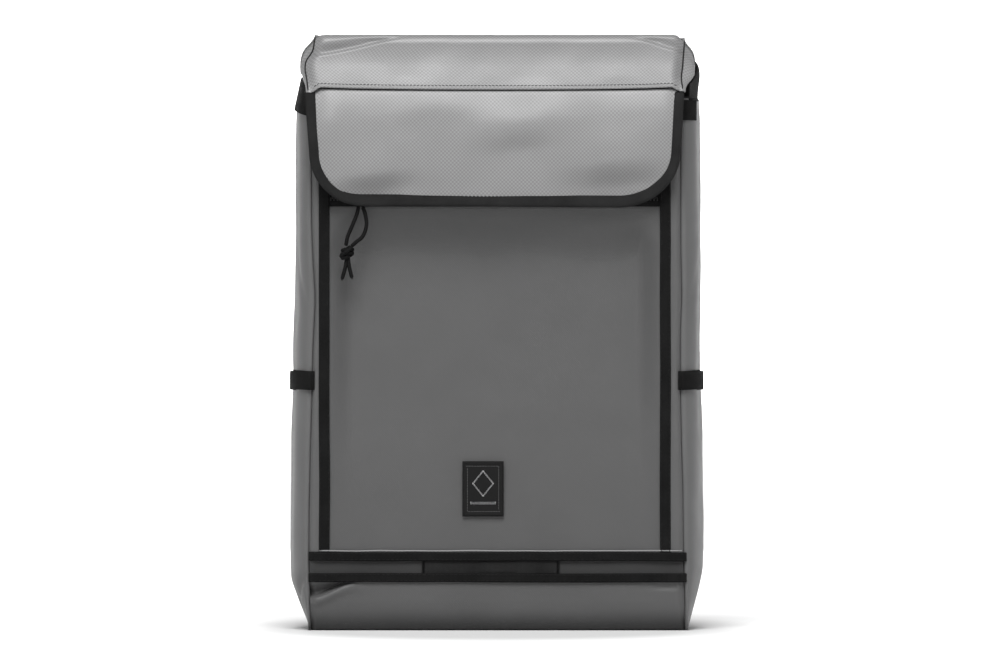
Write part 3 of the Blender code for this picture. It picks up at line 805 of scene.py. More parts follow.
def boot_y(x, z):
    """The base's front face: rolled under at the bottom."""
    under = max(BASE_ROLL - z, 0.0) / BASE_ROLL
    roll = BASE_DEPTH * (1 - math.sqrt(max(1 - under * under, 0.0)))
    side = 1 if x > 0 else -1
    corner = SEAM_ROLL * fade(abs(x) / seam_x(z, side), 0.965, 1.0) ** 1.5
    return FRONT_Y - 0.0008 + roll + corner


def make_base():
    top = LASH[0] + 0.002

    def shape(u, v):
        z = mix(0.0003, top, v)
        x = mix(-seam_x(z, -1), seam_x(z, 1), u)
        soft = 0.0008 * ripple(x, 0.0, z, 20.0)
        valley_z = mix(0.0425, 0.0305, fade(-x, 0.120, 0.158))
        over = fade(z, LASH[0] + 0.001, valley_z) if z > valley_z else fade(z, valley_z - 0.0040, valley_z)
        valley = over * fade(-x, 0.116, 0.134)
        lip = bell(z - valley_z + 0.0065, 0.0042) * fade(-x, 0.105, 0.140)
        nick = bell(z - 0.0365, 0.0022) * bell(x - 0.142, 0.012)
        creases = BASE_VALLEY * valley - 0.0018 * lip + 0.0009 * nick
        return x, boot_y(x, z) - soft * math.sin(math.pi * v) + creases, z

    cloth_sheet("base_front_cloth", shape, (150, 44), (0.315, 0.048), CLOTH, "base_grey",
                stands_for=["bottom_front_panel"])
    low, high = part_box("bottom_panel")

    def floor(u, v):
        x = mix(low.x - 0.001, high.x + 0.001, u)
        y = mix(low.y + 0.002, high.y, v)
        return x, y, 0.0003 + 0.0004 * (1 + ripple(x, y, 0.0, 30.0))

    cloth_sheet("base_cloth", floor, (60, 26), (0.31, 0.13), 0.0018, "base_grey", stands_for=["bottom_panel"],
                flip=True)


def side_folds(side, way, y, z):
    """How far the side's cloth stands out: long and fine folds, a slanting fold, and a pinch at the strap."""
    inside = math.sin(math.pi * min(way * 1.05, 1.0)) ** 0.6
    calm = fade(z, 0.0, 0.06) * (1 - 0.5 * fade(z, 0.40, WALL_TOP))
    near = 1 - 0.72 * bell(way - 0.50, 0.16)
    long_folds = 0.0024 * ripple(way * 0.20, side * 4.0, z * 0.24, 19.0, side) * near
    fine = 0.0006 * ripple(0.5 * y, 9.0 * side, z * 0.35, 75.0)
    deep = 0.0016 if side < 0 else 0.00064
    fold = deep * bell(z - 0.285 - (way - 0.10) * 0.16, 0.010) * fade(0.42 - way, 0.0, 0.3)
    pinch = 0.0012 * bell(z - SIDE_STRAP_Z, 0.012) * near
    return inside * ((long_folds + fine) * calm - pinch - fold)


def base_pleat(way, z):
    """The pleat that runs back and down from the left corner of the base: sharp below, soft above."""
    line = mix(0.0400, 0.0205, fade(way, 0.02, 0.30))
    return BASE_PLEAT * bell(z - line, 0.0090 if z > line else 0.0018) * fade(0.40 - way, 0.0, 0.12)


def side_shape(side):
    """The side panel's outer face as shape(u, v), from the front seam to the back, bottom to top."""
    def shape(u, v):
        z = mix(0.0003, WALL_TOP, v ** 0.9)
        depth = u if side > 0 else 1 - u
        seam = seam_x(z, side)
        under = 0.009 - math.sqrt(max(0.009 ** 2 - max(0.009 - z, 0.0) ** 2, 0.0))
        roll_share = 0.10
        if depth < roll_share:
            turn = math.pi / 2 * (depth / roll_share) * 1.05
            y = SIDE_FRONT_Y + SEAM_ROLL * (1.25 - math.sin(min(turn, math.pi / 2)))
            return side * (seam + SEAM_ROLL * 0.62 * (1 - math.cos(turn))), y + under, z
        way = (depth - roll_share) / (1 - roll_share)
        y = mix(SIDE_FRONT_Y + SEAM_ROLL * 0.25, SIDE_BACK_Y - 0.001, way ** 1.35)
        x = side_x(y, z, side)
        pleat = base_pleat(way, z) if side < 0 else 0.0
        x += side_folds(side, way, y, z) - pleat * (0.3 + way)
        return side * x, y + under * (1 - way) + pleat * (1 - way) * 0.8, z

    return shape


def make_side(side, name):
    cloth_sheet(f"side_cloth_{name}", side_shape(side), (70, 170), (0.155, 0.45), CLOTH, "side_grey",
                stands_for=[f"side_panel_{name}"])

    def hem(t):
        y = mix(SIDE_FRONT_Y + 0.004, 0.030, t)
        return side_point(side, y, WALL_TOP - 0.0008, mix(0.0002, -0.0014, fade(y, SIDE_FRONT_Y, -0.045)))

    tube(f"side_top_hem_{name}", sampled(40, hem), 0.0014, "webbing")


def side_point(side, y, z, lift):
    return Vector((side * (side_x(y, z, side) + lift), y, z))


def side_facing(side):
    """A strap over the side faces outwards, a little to the rear at its start and forwards at its end."""
    return lambda t: Vector((side, mix(0.45, -0.5, t), 0.0))


def hugging(side, back, front, z, lift, steps, slope=0.0):
    """Points over the side panel from back to front, lifted off it, rising by slope towards the back."""
    route = []
    for i in range(steps + 1):
        y = mix(back, front, i / steps)
        near = 1 - fade(y, SIDE_FRONT_Y, SIDE_FRONT_Y + 0.012)
        out = lift * (1 - near)
        route.append(side_point(side, y, z + slope * (1 - i / steps), out) + FRONT * (lift * near))
    return route


def make_side_strap(side, name):
    """Webbing hooked over the side: its flat hook slips under the fixed loop on the front seam."""
    body = f"{name}_side_strap"
    low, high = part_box(f"side_strap_{name}")
    z = (low.z + high.z) / 2 - 0.0008
    width = high.z - low.z
    route = hugging(side, high.y, -0.0590, z, 0.0016, 30)
    strap(f"side_strap_weave_{name}", route, width, WEBBING, "webbing", body, [f"side_strap_{name}"],
          side_facing(side))
    bar_tack(f"side_strap_tack_{name}", route[-6] + RIGHT * side * 0.0008, 0.013, body, RIGHT * side)
    hook_low, hook_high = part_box(f"side_hook_{name}")

    def section(t):
        nose = 1 - 0.35 * fade(t, 0.75, 1.0) - 0.15 * fade(0.15 - t, 0.0, 0.15)
        return flat_section((hook_high.z - hook_low.z) * 0.8 * nose, 0.0012, 0.0002)

    hook = hugging(side, hook_high.y, hook_low.y - 0.002, z, 0.0001, 12)
    swept(f"side_hook_shell_{name}", hook, section, "black_plastic", body, [f"side_hook_{name}"],
          side_facing(side))
    loop_low, loop_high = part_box(f"side_loop_{name}")
    loop = hugging(side, loop_high.y + 0.003, SIDE_FRONT_Y - 0.0002, z, 0.0026, 14, slope=0.0012)
    loop.append(Vector((side * (seam_x(z, side) - 0.0010), SIDE_FRONT_Y - 0.0008, z)))
    strap(f"side_loop_weave_{name}", loop, loop_high.z - loop_low.z, WEBBING, "webbing", "pack",
          [f"side_loop_{name}"], lambda t: Vector((side, mix(-0.4, -1.6, t), 0.0)))


UPPER_STRAP = ((-0.1576, -0.0795, 0.4462), (-0.1608, -0.0752, 0.4472), (-0.1646, -0.0660, 0.4490),
               (-0.1676, -0.0450, 0.4512), (-0.1684, -0.0150, 0.4530), (-0.1668, 0.0300, 0.4545))


def make_upper_tab(side, name):
    """On the left a wide strap slants back over the side. On the right a tab stands on the front seam."""
    low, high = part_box(f"upper_side_tab_{name}")
    if side > 0:
        z = (low.z + high.z) / 2
        route = hugging(side, SIDE_FRONT_Y + 0.0135, SIDE_FRONT_Y - 0.0010, z, 0.0016, 14)
        route.append(Vector((seam_x(z, side) - 0.003, SIDE_FRONT_Y - 0.0030, z)))
        wide = high.z - low.z
        lean = 0.0
    else:
        route = smooth_route(UPPER_STRAP, 8)[::-1]
        wide = 0.0275
        lean = 0.21
    strap(f"upper_tab_weave_{name}", route, wide, WEBBING, "webbing", "pack", [f"upper_side_tab_{name}"],
          lambda t: Vector((side, mix(0.3, -1.4, t), lean)))


# (height, how far out) of the black collar on the right. On the left it is set in by COLLAR_INSET
COLLAR_EDGE = ((0.4435, 0.1695), (0.4493, 0.1702), (0.4694, 0.1718), (0.4770, 0.1710), (0.4819, 0.1682),
               (0.4840, 0.1650))
COLLAR_INSET = 0.0062


def make_collar(side, name):
    """Black cloth gathered at the rear corner of the mouth, behind the lid's gusset."""
    low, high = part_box(f"collar_{name}")
    bottom = COLLAR_EDGE[0][0] - 0.0010
    inset = 0.0 if side > 0 else COLLAR_INSET

    def shape(u, v):
        depth = u if side > 0 else 1 - u
        y = mix(low.y - 0.030, high.y, depth)
        top = mix(FLAP_TOP + 0.006, COLLAR_EDGE[-1][0], fade(depth, 0.0, 0.5))
        z = mix(bottom, top, v)
        tuck = 0.0080 * (1 - fade(depth, -0.05, 0.35)) + 0.0100 * fade(depth, 0.72, 1.0)
        folds = 0.0008 * ripple(0.3 * y, side, z, 60.0)
        return side * (along(COLLAR_EDGE, z) - inset - tuck + folds), y, z

    cloth_sheet(f"collar_cloth_{name}", shape, (32, 20), (0.074, 0.035), 0.0014, "black_fabric",
                stands_for=[f"collar_{name}"])


# Lid and flap

# (height, how far out) of the lid's front edge and of its gusset, on each side
LID_EDGE = {
    -1: ((0.4525, 0.1583), (0.4627, 0.1596), (0.4727, 0.1617), (0.4810, 0.1600), (0.4860, 0.1552),
         (0.4995, 0.1528)),
    1: ((0.4540, 0.1551), (0.4642, 0.1536), (0.4733, 0.1551), (0.4837, 0.1557), (0.4967, 0.1567)),
}
GUSSET_EDGE = {
    -1: ((0.4560, 0.1610), (0.4670, 0.1650), (0.4795, 0.1650), (0.4879, 0.1625), (0.4980, 0.1567)),
    1: ((0.4580, 0.1575), (0.4652, 0.1653), (0.4784, 0.1659), (0.4870, 0.1643), (0.4972, 0.1588)),
}
LID_BACK_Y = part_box("lid_top_panel")[1].y
HINGE_Z = 0.4785
HINGE_TAPE_HALF = 0.1525
HINGE_TAPE_REACH = 0.0085


def hem_z(share):
    """The lid's hem sags a little between its ends and dips at them. share runs from -1 to 1."""
    dip = 0.0062 * fade(-share, 0.93, 1.0) + 0.0048 * fade(share, 0.94, 1.0)
    return FLAP_TOP + 0.0028 - 0.0036 * max(1 - share * share, 0.0) ** 0.4 - dip


LID_LEAN = math.tan(math.radians(17))
UPPER_LEAN = math.tan(math.radians(5))
STEEPENS_Z = 0.4740
FRONT_SHARE = 0.27
HEM_TRAVEL = 0.0160
BACK_RADIUS = 0.015
SHOULDER = 0.009


def lid_front(way, low):
    """The lid's side-on outline: it leans back from the hem, steepens, then rounds over. Gives y and z."""
    bend_z = LID_TOP - SHOULDER
    rise = bend_z - low
    length = rise + SHOULDER * math.pi / 2
    z = low + min(way * length, rise)
    above = max(z - STEEPENS_Z, 0.0)
    easing = (LID_LEAN - UPPER_LEAN) / (bend_z - STEEPENS_Z) / 2
    turn = max(way * length - rise, 0.0) / SHOULDER
    y = LID_Y - 0.0020 + LID_LEAN * (z - low) - easing * above * above + SHOULDER * (1 - math.cos(turn))
    return y, z + SHOULDER * math.sin(turn)


def fold_above(z, line):
    """Where cloth falls back just above a fold's line, then comes out again, from 0 to 1."""
    return fade(z, line - 0.0008, line + 0.0020) * (1 - fade(z, line + 0.0022, line + 0.0120))


def lid_point(share, travel):
    """A point on the lid's outer face. share runs across from -1 to 1, travel from the hem over the top."""
    side = 1 if share > 0 else -1
    low = hem_z(share)
    wide = share * 0.15
    wrinkle = 0.0012 * ripple(wide, 3.0, travel * 0.2, 15.0) + 0.0004 * ripple(wide, 6.0, travel * 0.2, 42.0)
    sag = 0.0040 * fade(share, 0.950, 1.0) + 0.0010 * fade(-share, 0.95, 1.0)
    if travel < FRONT_SHARE:
        y, z = lid_front(travel / FRONT_SHARE, low)
        way = z - low
        left_line = 0.4985 - 0.0175 * fade(-wide, 0.072, 0.166) ** 0.75
        right_line = 0.4975 - 0.0110 * fade(wide, 0.105, 0.152)
        folds = fold_above(z, left_line) * fade(-wide, 0.040, 0.100)
        folds += fold_above(z, right_line) * fade(wide, 0.095, 0.125)
        y += 0.0036 * folds * (1 - fade(z, LID_TOP - 0.0060, LID_TOP - 0.0010))
        y -= wrinkle * fade(way, 0.0, 0.012)
        y += 0.0070 * fade(abs(share), 0.955, 1.0) ** 1.6 * mix(0.1, 1.0, fade(way, 0.0, 0.018))
        return Vector((share * along(LID_EDGE[side], z), y, z - sag * fade(way, 0.020, 0.044)))
    start = lid_front(1.0, low)[0]
    flat = LID_BACK_Y - BACK_RADIUS - start
    way = (travel - FRONT_SHARE) / (1 - FRONT_SHARE) * (flat + BACK_RADIUS * math.pi / 2 + 0.007)
    half = mix(LID_EDGE[side][-1][1], LID_HALF, fade(way, 0.0, 0.08))
    edge = 0.0022 * fade(abs(share), 0.95, 1.0) ** 2
    if way < flat:
        crown = 0.0012 * math.sin(math.pi * way / flat) * (1 - share * share)
        z = LID_TOP + crown - abs(wrinkle) * fade(way, 0.0, 0.02) - edge - sag * (1 - fade(way, 0.0, 0.05))
        return Vector((share * half, start + way, z))
    turn = min((way - flat) / BACK_RADIUS, math.pi / 2)
    drop = max(way - flat - BACK_RADIUS * math.pi / 2, 0.0)
    y = LID_BACK_Y - BACK_RADIUS + BACK_RADIUS * math.sin(turn)
    z = LID_TOP - BACK_RADIUS * (1 - math.cos(turn)) - drop
    return Vector((share * half, y, max(z, HINGE_Z) + (wrinkle - edge) * math.cos(turn)))


def make_lid():
    def shape(u, v):
        return lid_point(2 * u - 1, v)

    cloth_sheet("lid_cloth", shape, (150, 190), (0.314, 0.217), 0.0018, "flap_grey", "lid", ["lid_top_panel"])
    hem = [lid_point(i / 75 - 1, HEM_TRAVEL) + FRONT * 0.0002 for i in range(2, 149)]
    stitches("lid_hem_stitch", hem, "black_thread", "lid", length=0.0019, gap=0.0011, radius=FINE_STITCH)
    edge = [lid_point(i / 60 - 1, 0.0) for i in range(1, 120)]
    fold = [point + Vector((0.0, -0.0003, 0.0005)) for point in edge]
    tube("lid_hem_fold", fold, 0.0011, "flap_grey", "lid")
    # A black tube tucked under the hem: a painted shadow line in the gap between the hem and the flap.
    under = [point + Vector((0.0, 0.0014, -0.0008)) for point in edge[2:-2]]
    tube("lid_hem_lining", under, 0.0008, "webbing", "lid")
    make_hinge_tape()
    for side, name in SIDES:
        make_gusset(side, name)


def make_hinge_tape():
    """A tape sewn over the join of the lid and the back."""
    def shape(u, v):
        x = mix(-HINGE_TAPE_HALF, HINGE_TAPE_HALF, u)
        z = HINGE_Z + mix(-HINGE_TAPE_REACH, HINGE_TAPE_REACH, v)
        return x, mix(BACK_Y, LID_BACK_Y, v) + 0.0012 + 0.0002 * ripple(x, 2.0, z, 60.0), z

    tape = cloth_sheet("lid_hinge_tape", shape, (80, 14), (2 * HINGE_TAPE_HALF, 2 * HINGE_TAPE_REACH), 0.0010,
                       "black_fabric", None, flip=True)
    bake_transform(tape)


def gusset_low(y):
    """The gusset's lower edge is level, then rises over the collar towards the hinge."""
    return FLAP_TOP - 0.0032 + 0.0275 * fade(y, -0.020, 0.040)


def make_gusset(side, name):
    """The lid's side: a leaf that starts at the lid's own edge and swells outwards."""
    edge = [lid_point(side, 0.97 * i / 120) for i in range(121)]
    front = edge[0].y
    back = edge[-1].y

    def shape(u, v):
        depth = u if side > 0 else 1 - u
        start = edge[round(depth * 120)]
        y = mix(front + 0.0035, back, depth ** 0.8)
        foot = Vector((0.0, y, gusset_low(y)))
        way = fade(v, 0.0, 1.0) * 0.35 + v * 0.65
        point = mix(start, foot, way)
        leaf = along(GUSSET_EDGE[side], point.z)
        rear = LID_HALF + 0.0018 * math.sin(math.pi * v)
        out = mix(leaf, rear, fade(point.y, -0.01, 0.045))
        folds = 0.0012 * ripple(0.25 * point.y, 8.0 * side, point.z * 0.6, 60.0) * fade(v, 0.0, 0.3)
        x = mix(abs(start.x) - 0.0003, out + folds, fade(v, 0.0, 0.30) ** 0.7)
        return side * x, point.y, point.z

    cloth_sheet(f"gusset_cloth_{name}", shape, (120, 26), (0.20, 0.046), 0.0013, "flap_grey", "lid",
                [f"lid_gusset_{name}"], flip=True)
    # A thin dark tube along the seam with the gusset: a painted shadow line in the seam's groove.
    rim = [point + Vector((side * 0.0004, 0.0, 0.0001)) for point in edge[1:]]
    tube(f"lid_seam_{name}", rim, 0.0006, "binding_thread", "lid")


# The flap's lower corners: half width and height where each starts, how far it cuts in, and the side's slant
FLAP_CORNER = {-1: (0.1580, 0.4010, 0.045, 0.075), 1: (0.1538, 0.4040, 0.052, 0.058)}
BINDING_SIDE = 0.0090
BINDING_LOW = 0.0100
FLAP_HANG = 0.0080
CORNER_STEPS = 26


def flap_half(z, side, inset, low):
    """Half the flap's width on one side at a height, inside its outline by inset. low is its bottom edge."""
    half, corner_z, cut, slant = FLAP_CORNER[side]
    if z >= corner_z:
        return half + slant * (z - corner_z) - inset
    drop = min((corner_z - z) / (corner_z - low), 1.0)
    return half - inset - (cut - inset) * (1 - math.sqrt(1 - drop * drop))


# Soft swells and hollows of the flap: middle x and z, half width, half height, and how far each stands out
SWELLS = ((0.093, 0.3955, 0.040, 0.0120, 0.0052), (0.102, 0.3720, 0.038, 0.0110, -0.0062),
          (-0.106, 0.3850, 0.032, 0.0095, 0.0042), (-0.104, 0.3660, 0.032, 0.0095, -0.0050),
          (0.012, 0.4250, 0.036, 0.0130, 0.0024), (0.018, 0.4010, 0.036, 0.0120, -0.0044),
          (-0.012, 0.3640, 0.034, 0.0200, 0.0034), (-0.145, 0.4200, 0.016, 0.0120, 0.0018),
          (0.110, 0.4400, 0.045, 0.010, 0.0008), (-0.070, 0.4380, 0.045, 0.011, 0.0008))


def flap_y(x, z):
    """The flap's outer face. It hangs from the hem in a shallow curve, with swells that fade out above."""
    drop = min(max((FLAP_TOP - z) / (FLAP_TOP - FLAP_LOW), 0.0), 1.0)
    hang = FLAP_HANG * math.sin(math.pi * drop ** 0.80)
    calm = fade(drop, 0.02, 0.3) * (1 - 0.5 * fade(drop, 0.88, 1.0))
    dents = 0.0014 * ripple(x, 2.4, z * 1.3, 17.0, 5.0) + 0.0006 * ripple(x, 7.0, z, 38.0)
    for middle_x, middle_z, wide, high, out in SWELLS:
        slant = z - middle_z - 0.12 * (x - middle_x)
        reach = high * (2.2 if slant * out > 0 else 1.0)
        dents += out * bell(x - middle_x, wide) * bell(slant, reach)
    corner = math.hypot(abs(x) - 0.150, z - 0.4515)
    gather = 0.0006 * math.sin((abs(x) * 0.5 + z) * 1700) * math.exp(-corner / 0.007)
    hem = hem_z(x / 0.157)
    groove = 0.0038 * fade(z, hem - 0.0022, hem + 0.0040)
    rolled = 0.0030 * fade(abs(x), 0.138, 0.160)
    return LID_Y - 0.0004 - hang - dents * calm + gather + groove + rolled


def make_flap():
    low = FLAP_LOW + 0.0045
    top = FLAP_TOP + 0.0060

    def shape(u, v):
        z = mix(low, top, v ** 1.5)
        side = 1 if u > 0.5 else -1
        x = (2 * u - 1) * flap_half(min(z, FLAP_TOP), side, 0.0035, low)
        return x, flap_y(x, z), z

    def weave(u, v):
        x, _, z = shape(u, v)
        return x, z

    flap = cloth_sheet("flap_cloth", shape, (150, 70), (0.312, 0.101), CLOTH, "flap_grey", None,
                       ["flap_panel"], weave=weave)
    across_hinge(flap)
    make_flap_binding()
    make_pile_strip("hook_strip", "closure_hook_strip", "flap", BACK, lambda x, z: flap_y(x, z) + 0.0031)


def across_hinge(obj):
    """Bakes the piece's placement into its mesh."""
    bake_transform(obj)


def binding_leg(side):
    """The binding's middle line down one side of the flap and round its corner, as (x, z, width)."""
    half, corner_z, cut, slant = FLAP_CORNER[side]
    leg = []
    for i in range(17):
        z = mix(FLAP_TOP + 0.0015, corner_z, i / 16)
        leg.append((side * (half + slant * (z - corner_z) - BINDING_SIDE / 2), z, BINDING_SIDE))
    for i in range(1, CORNER_STEPS + 1):
        turn = math.pi / 2 * i / CORNER_STEPS
        width = mix(BINDING_SIDE, BINDING_LOW, fade(i / CORNER_STEPS, 0.0, 0.8))
        x = half - cut + (cut - width / 2) * math.cos(turn)
        leg.append((side * x, corner_z - (corner_z - FLAP_LOW - width / 2) * math.sin(turn), width))
    return leg


def make_flap_binding():
    """A folded tape round the flap's edge, from the left end of its hinge to the right."""
    left, right = (binding_leg(side) for side in (-1, 1))
    (x0, z0, _), (x1, z1, _) = left[-1], right[-1]
    bottom = [(mix(x0, x1, i / 60), mix(z0, z1, i / 60), BINDING_LOW) for i in range(1, 60)]
    route = [*left, *bottom, *right[::-1]]
    line = [Vector((x, flap_y(x, z) + 0.0005, z - 0.0008 * x / 0.15)) for x, z, _ in route]

    def section(t):
        return flat_section(route[round(t * (len(route) - 1))][2], 0.0034, 0.0002)

    across_hinge(swept("flap_binding_tape", line, section, "binding", None, ["flap_binding"]))
    inner = []
    for i, point in enumerate(line):
        inwards = FRONT.cross(tangent_at(line, i))
        inner.append(point + inwards * (route[i][2] / 2 - 0.0013) + FRONT * 0.0017)
    across_hinge(stitches("flap_binding_stitch", inner[6:-6], "binding_thread", None, length=0.0022,
                          gap=0.0010, radius=FINE_STITCH))


# Zip pull

SLIDER_X = -0.115
CORD_RADIUS = 0.0016
KNOT_AT = Vector((-0.1262, -0.0850, 0.3176))
KNOT_SIZE = Vector((0.0062, 0.0054, 0.0064))
KNOT_TURNS = 2.7
KNOT_CROSSING = ((-0.0050, -0.0034, -0.0030), (-0.0006, -0.0062, 0.0008), (0.0044, -0.0040, 0.0042))
LEGS = {
    "left": ((-0.1168, -0.0835, 0.3561), (-0.1181, -0.0838, 0.3500), (-0.1218, -0.0845, 0.3405),
             (-0.1258, -0.0850, 0.3310), (-0.1273, -0.0850, 0.3233)),
    "right": ((-0.1132, -0.0835, 0.3561), (-0.1110, -0.0838, 0.3495), (-0.1100, -0.0845, 0.3405),
              (-0.1130, -0.0850, 0.3315), (-0.1190, -0.0852, 0.3262), (-0.1226, -0.0851, 0.3230)),
}
TAILS = ((-0.1262, 0.3150, -0.1305, 0.2955), (-0.1255, 0.3150, -0.1222, 0.2965))


def cord_piece(name, route, radius=CORD_RADIUS, look="cord", stands_for=()):
    return tube(name, route, radius, look, "zip_pull", stands_for, sides=14)


def make_pull():
    """A cord doubled through the slider and knotted below it, with two short tails."""
    ends = [make_knot()]
    for number, (top_x, top_z, end_x, end_z) in enumerate(TAILS):
        bow_x = (top_x + end_x) / 2 + 0.0006 * (1 - 2 * number)
        bow = (bow_x, KNOT_AT.y - 0.0006, (top_z + end_z) / 2)
        line = smooth_route([(top_x, KNOT_AT.y, top_z), bow, (end_x, KNOT_AT.y, end_z)], 8)
        ends.append(cord_piece(f"cord_tail_{number}", line))
        tip = [line[-1], line[-1] + (line[-1] - line[-2]).normalized() * 0.0012]
        ends.append(cord_piece(f"cord_tip_{number}", tip, CORD_RADIUS * 0.82, "black_plastic"))
    for name, points in LEGS.items():
        route = smooth_route(points, 7)
        leg = cord_piece(f"cord_leg_{name}", route, stands_for=[f"pull_cord_{name}"])
        distances(route)[-1]
    left, right = (Vector(LEGS[name][0]) for name in ("left", "right"))
    eye = [left, left + Vector((0.0004, 0.0, 0.0016)), (left + right) / 2 + Vector((0.0, 0.0004, 0.0030)),
           right + Vector((-0.0004, 0.0, 0.0016)), right]
    cord_piece("cord_bend", smooth_route(eye, 6), CORD_RADIUS * 0.98)


def make_knot():
    """An overhand knot pulled tight: a strand wound round the cord, then laid across its own turns."""
    def wound(share):
        turn = 2 * math.pi * KNOT_TURNS * share + 0.6
        bulge = KNOT_SIZE.x * (0.80 + 0.20 * math.sin(math.pi * share)) - CORD_RADIUS
        rise = mix(1, -1, share) * (KNOT_SIZE.z - 0.0020) + 0.0013 * math.cos(turn + 0.5)
        return KNOT_AT + Vector((bulge * math.cos(turn), (KNOT_SIZE.y - CORD_RADIUS) * math.sin(turn), rise))

    line = sampled(90, wound)
    line += smooth_route([line[-1], *(KNOT_AT + Vector(step) for step in KNOT_CROSSING)], 8)[1:]
    return cord_piece("cord_knot", line, stands_for=["pull_knot"])


def make_slider():
    """The moulded slider stays as the CAD has it, with a wire bridge for the cord."""
    low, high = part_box("zip_slider")
    bridge = [(SLIDER_X, low.y + 0.0012, high.z - 0.0012), (SLIDER_X, low.y - 0.0010, high.z - 0.0022),
              (SLIDER_X, low.y - 0.0014, low.z + 0.0040), (SLIDER_X, low.y - 0.0008, low.z + 0.0016),
              (SLIDER_X, low.y + 0.0012, low.z + 0.0008)]
    tube("slider_bridge", smooth_route(bridge, 6), 0.0009, "zip_metal", "zip_slider")


# Back and shoulder straps

BACK_CORNER = 0.030
PIPING = 0.0013
PAD_STEPS = (28, 80)
PAD_CHANNELS = (0.0, 0.335, 0.665, 1.0)
PAD_CORNER = 0.014
PAD_EDGE = 0.0012
PAD_SLOPE = 0.012
PAD_PUFF = 0.004


def back_half(z):
    """Half the back panel's width at a height: narrower at the base, with rounded top corners."""
    if z < 0.044:
        return mix(BACK_HALF - 0.009, BACK_HALF, z / 0.044)
    above = z - BACK_TOP + BACK_CORNER
    if above > 0:
        return BACK_HALF - BACK_CORNER + math.sqrt(max(BACK_CORNER ** 2 - above ** 2, 0.0))
    return BACK_HALF


def make_back():
    low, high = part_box("back_panel")

    def shape(u, v):
        z = mix(low.z + 0.0004, high.z - 0.0002, v)
        share = 2 * u - 1
        roll = 0.0062 * fade(abs(share), 0.965, 1.0) ** 2 + 0.0030 * fade(z, high.z - 0.006, high.z) ** 2
        soft = 0.0006 * ripple(share * 0.16, 4.0, z, 18.0) * math.sin(math.pi * u)
        return share * back_half(z), BACK_Y + 0.0001 - roll + soft, z

    cloth_sheet("back_cloth", shape, (80, 100), (0.33, 0.478), CLOTH, "black_fabric",
                stands_for=["back_panel"], flip=True)
    for side, name in SIDES:
        edge = [Vector((side * (back_half(z) + 0.0002), BACK_Y - 0.0058, z))
                for z in (mix(0.004, high.z - BACK_CORNER, i / 80) for i in range(81))]
        tube(f"back_seam_{name}", edge, PIPING, "binding")
        make_back_pad(name)
        make_shoulder_strap(side, name)
        make_anchor(side, name)
        make_sternum(name)
    make_yoke_band()
    make_haul_handle()


def inflate(obj, held, cap):
    """Blows a padded piece up by cloth simulation. held(point) is where it is sewn, cap the furthest move."""
    mesh = obj.data
    start = [vertex.co.copy() for vertex in mesh.vertices]
    group = obj.vertex_groups.new(name="sewn")
    group.add([i for i, point in enumerate(start) if held(point)], 1.0, "REPLACE")
    cloth = obj.modifiers.new("fill", "CLOTH")
    cloth.settings.use_pressure = True
    cloth.settings.uniform_pressure_force = 4.0
    cloth.settings.vertex_group_mass = group.name
    cloth.settings.effector_weights.gravity = 0.0
    for frame_number in range(1, 21):
        bpy.context.scene.frame_set(frame_number)
    shaped = obj.evaluated_get(bpy.context.evaluated_depsgraph_get()).data
    moved = [vertex.co.copy() for vertex in shaped.vertices]
    obj.modifiers.remove(cloth)
    for vertex, old, new in zip(mesh.vertices, start, moved):
        step = new - old
        vertex.co = old + step * min(1.0, cap / max(step.length, 1e-9))
    bpy.context.scene.frame_set(1)


def make_back_pad(name):
    """A foam pad in air mesh, sewn into three chambers."""
    low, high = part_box(f"back_pad_{name}")
    steps = PAD_STEPS
    channels = [mix(low.z, high.z, share) for share in PAD_CHANNELS]
    middle = (low.x + high.x) / 2

    def depth(x, z):
        edge = min(x - low.x, high.x - x)
        channel = min(abs(z - line) for line in channels)
        return PAD_EDGE + 0.0050 * fade(edge, 0.0, PAD_SLOPE) * fade(channel, 0.0, PAD_SLOPE)

    face = []
    rear = []
    weave = []
    for i in range(steps[1] + 1):
        z = mix(low.z, high.z, i / steps[1])
        corner = PAD_CORNER * (1 - fade(min(z - low.z, high.z - z), 0.0, PAD_CORNER))
        for j in range(steps[0] + 1):
            flat_x = mix(low.x, high.x, j / steps[0])
            x = middle + (flat_x - middle) * (1 - corner / (high.x - low.x))
            face.append((x, low.y + depth(flat_x, z), z))
            rear.append((x, low.y + 0.0001, z))
            weave.append((x, z))
    faces = [face_points[::-1] for face_points in sheet_faces(*steps)]
    pad = closed_piece(f"back_pad_mesh_{name}", face + rear, faces, weave * 2, "spacer_mesh",
                       stands_for=[f"back_pad_{name}"], sharp=70)
    inflate(pad, lambda place: place.y < low.y + PAD_EDGE + 0.0010, PAD_PUFF)
    smooth = pad.modifiers.new("smooth", "SUBSURF")
    smooth.levels = 1
    smooth.render_levels = 1
    for number, z in enumerate(channels[1:3]):
        row = sampled(20, lambda t: (mix(low.x + 0.004, high.x - 0.004, t), low.y + 0.0016, z))
        stitches(f"back_pad_stitch_{name}_{number}", row, "binding_thread", out=BACK)
    left, right = low.x + 0.007, high.x - 0.007
    bottom, top = low.z + 0.010, high.z - 0.010
    edge = [(left, low.z), (right, low.z), (high.x, bottom), (high.x, top), (right, high.z), (left, high.z),
            (low.x, top), (low.x, bottom), (left, low.z)]
    route = [Vector((x, low.y + PAD_EDGE, z)) for x, z in edge]
    tube(f"back_pad_piping_{name}", route, PIPING, "binding", round_ends=False)


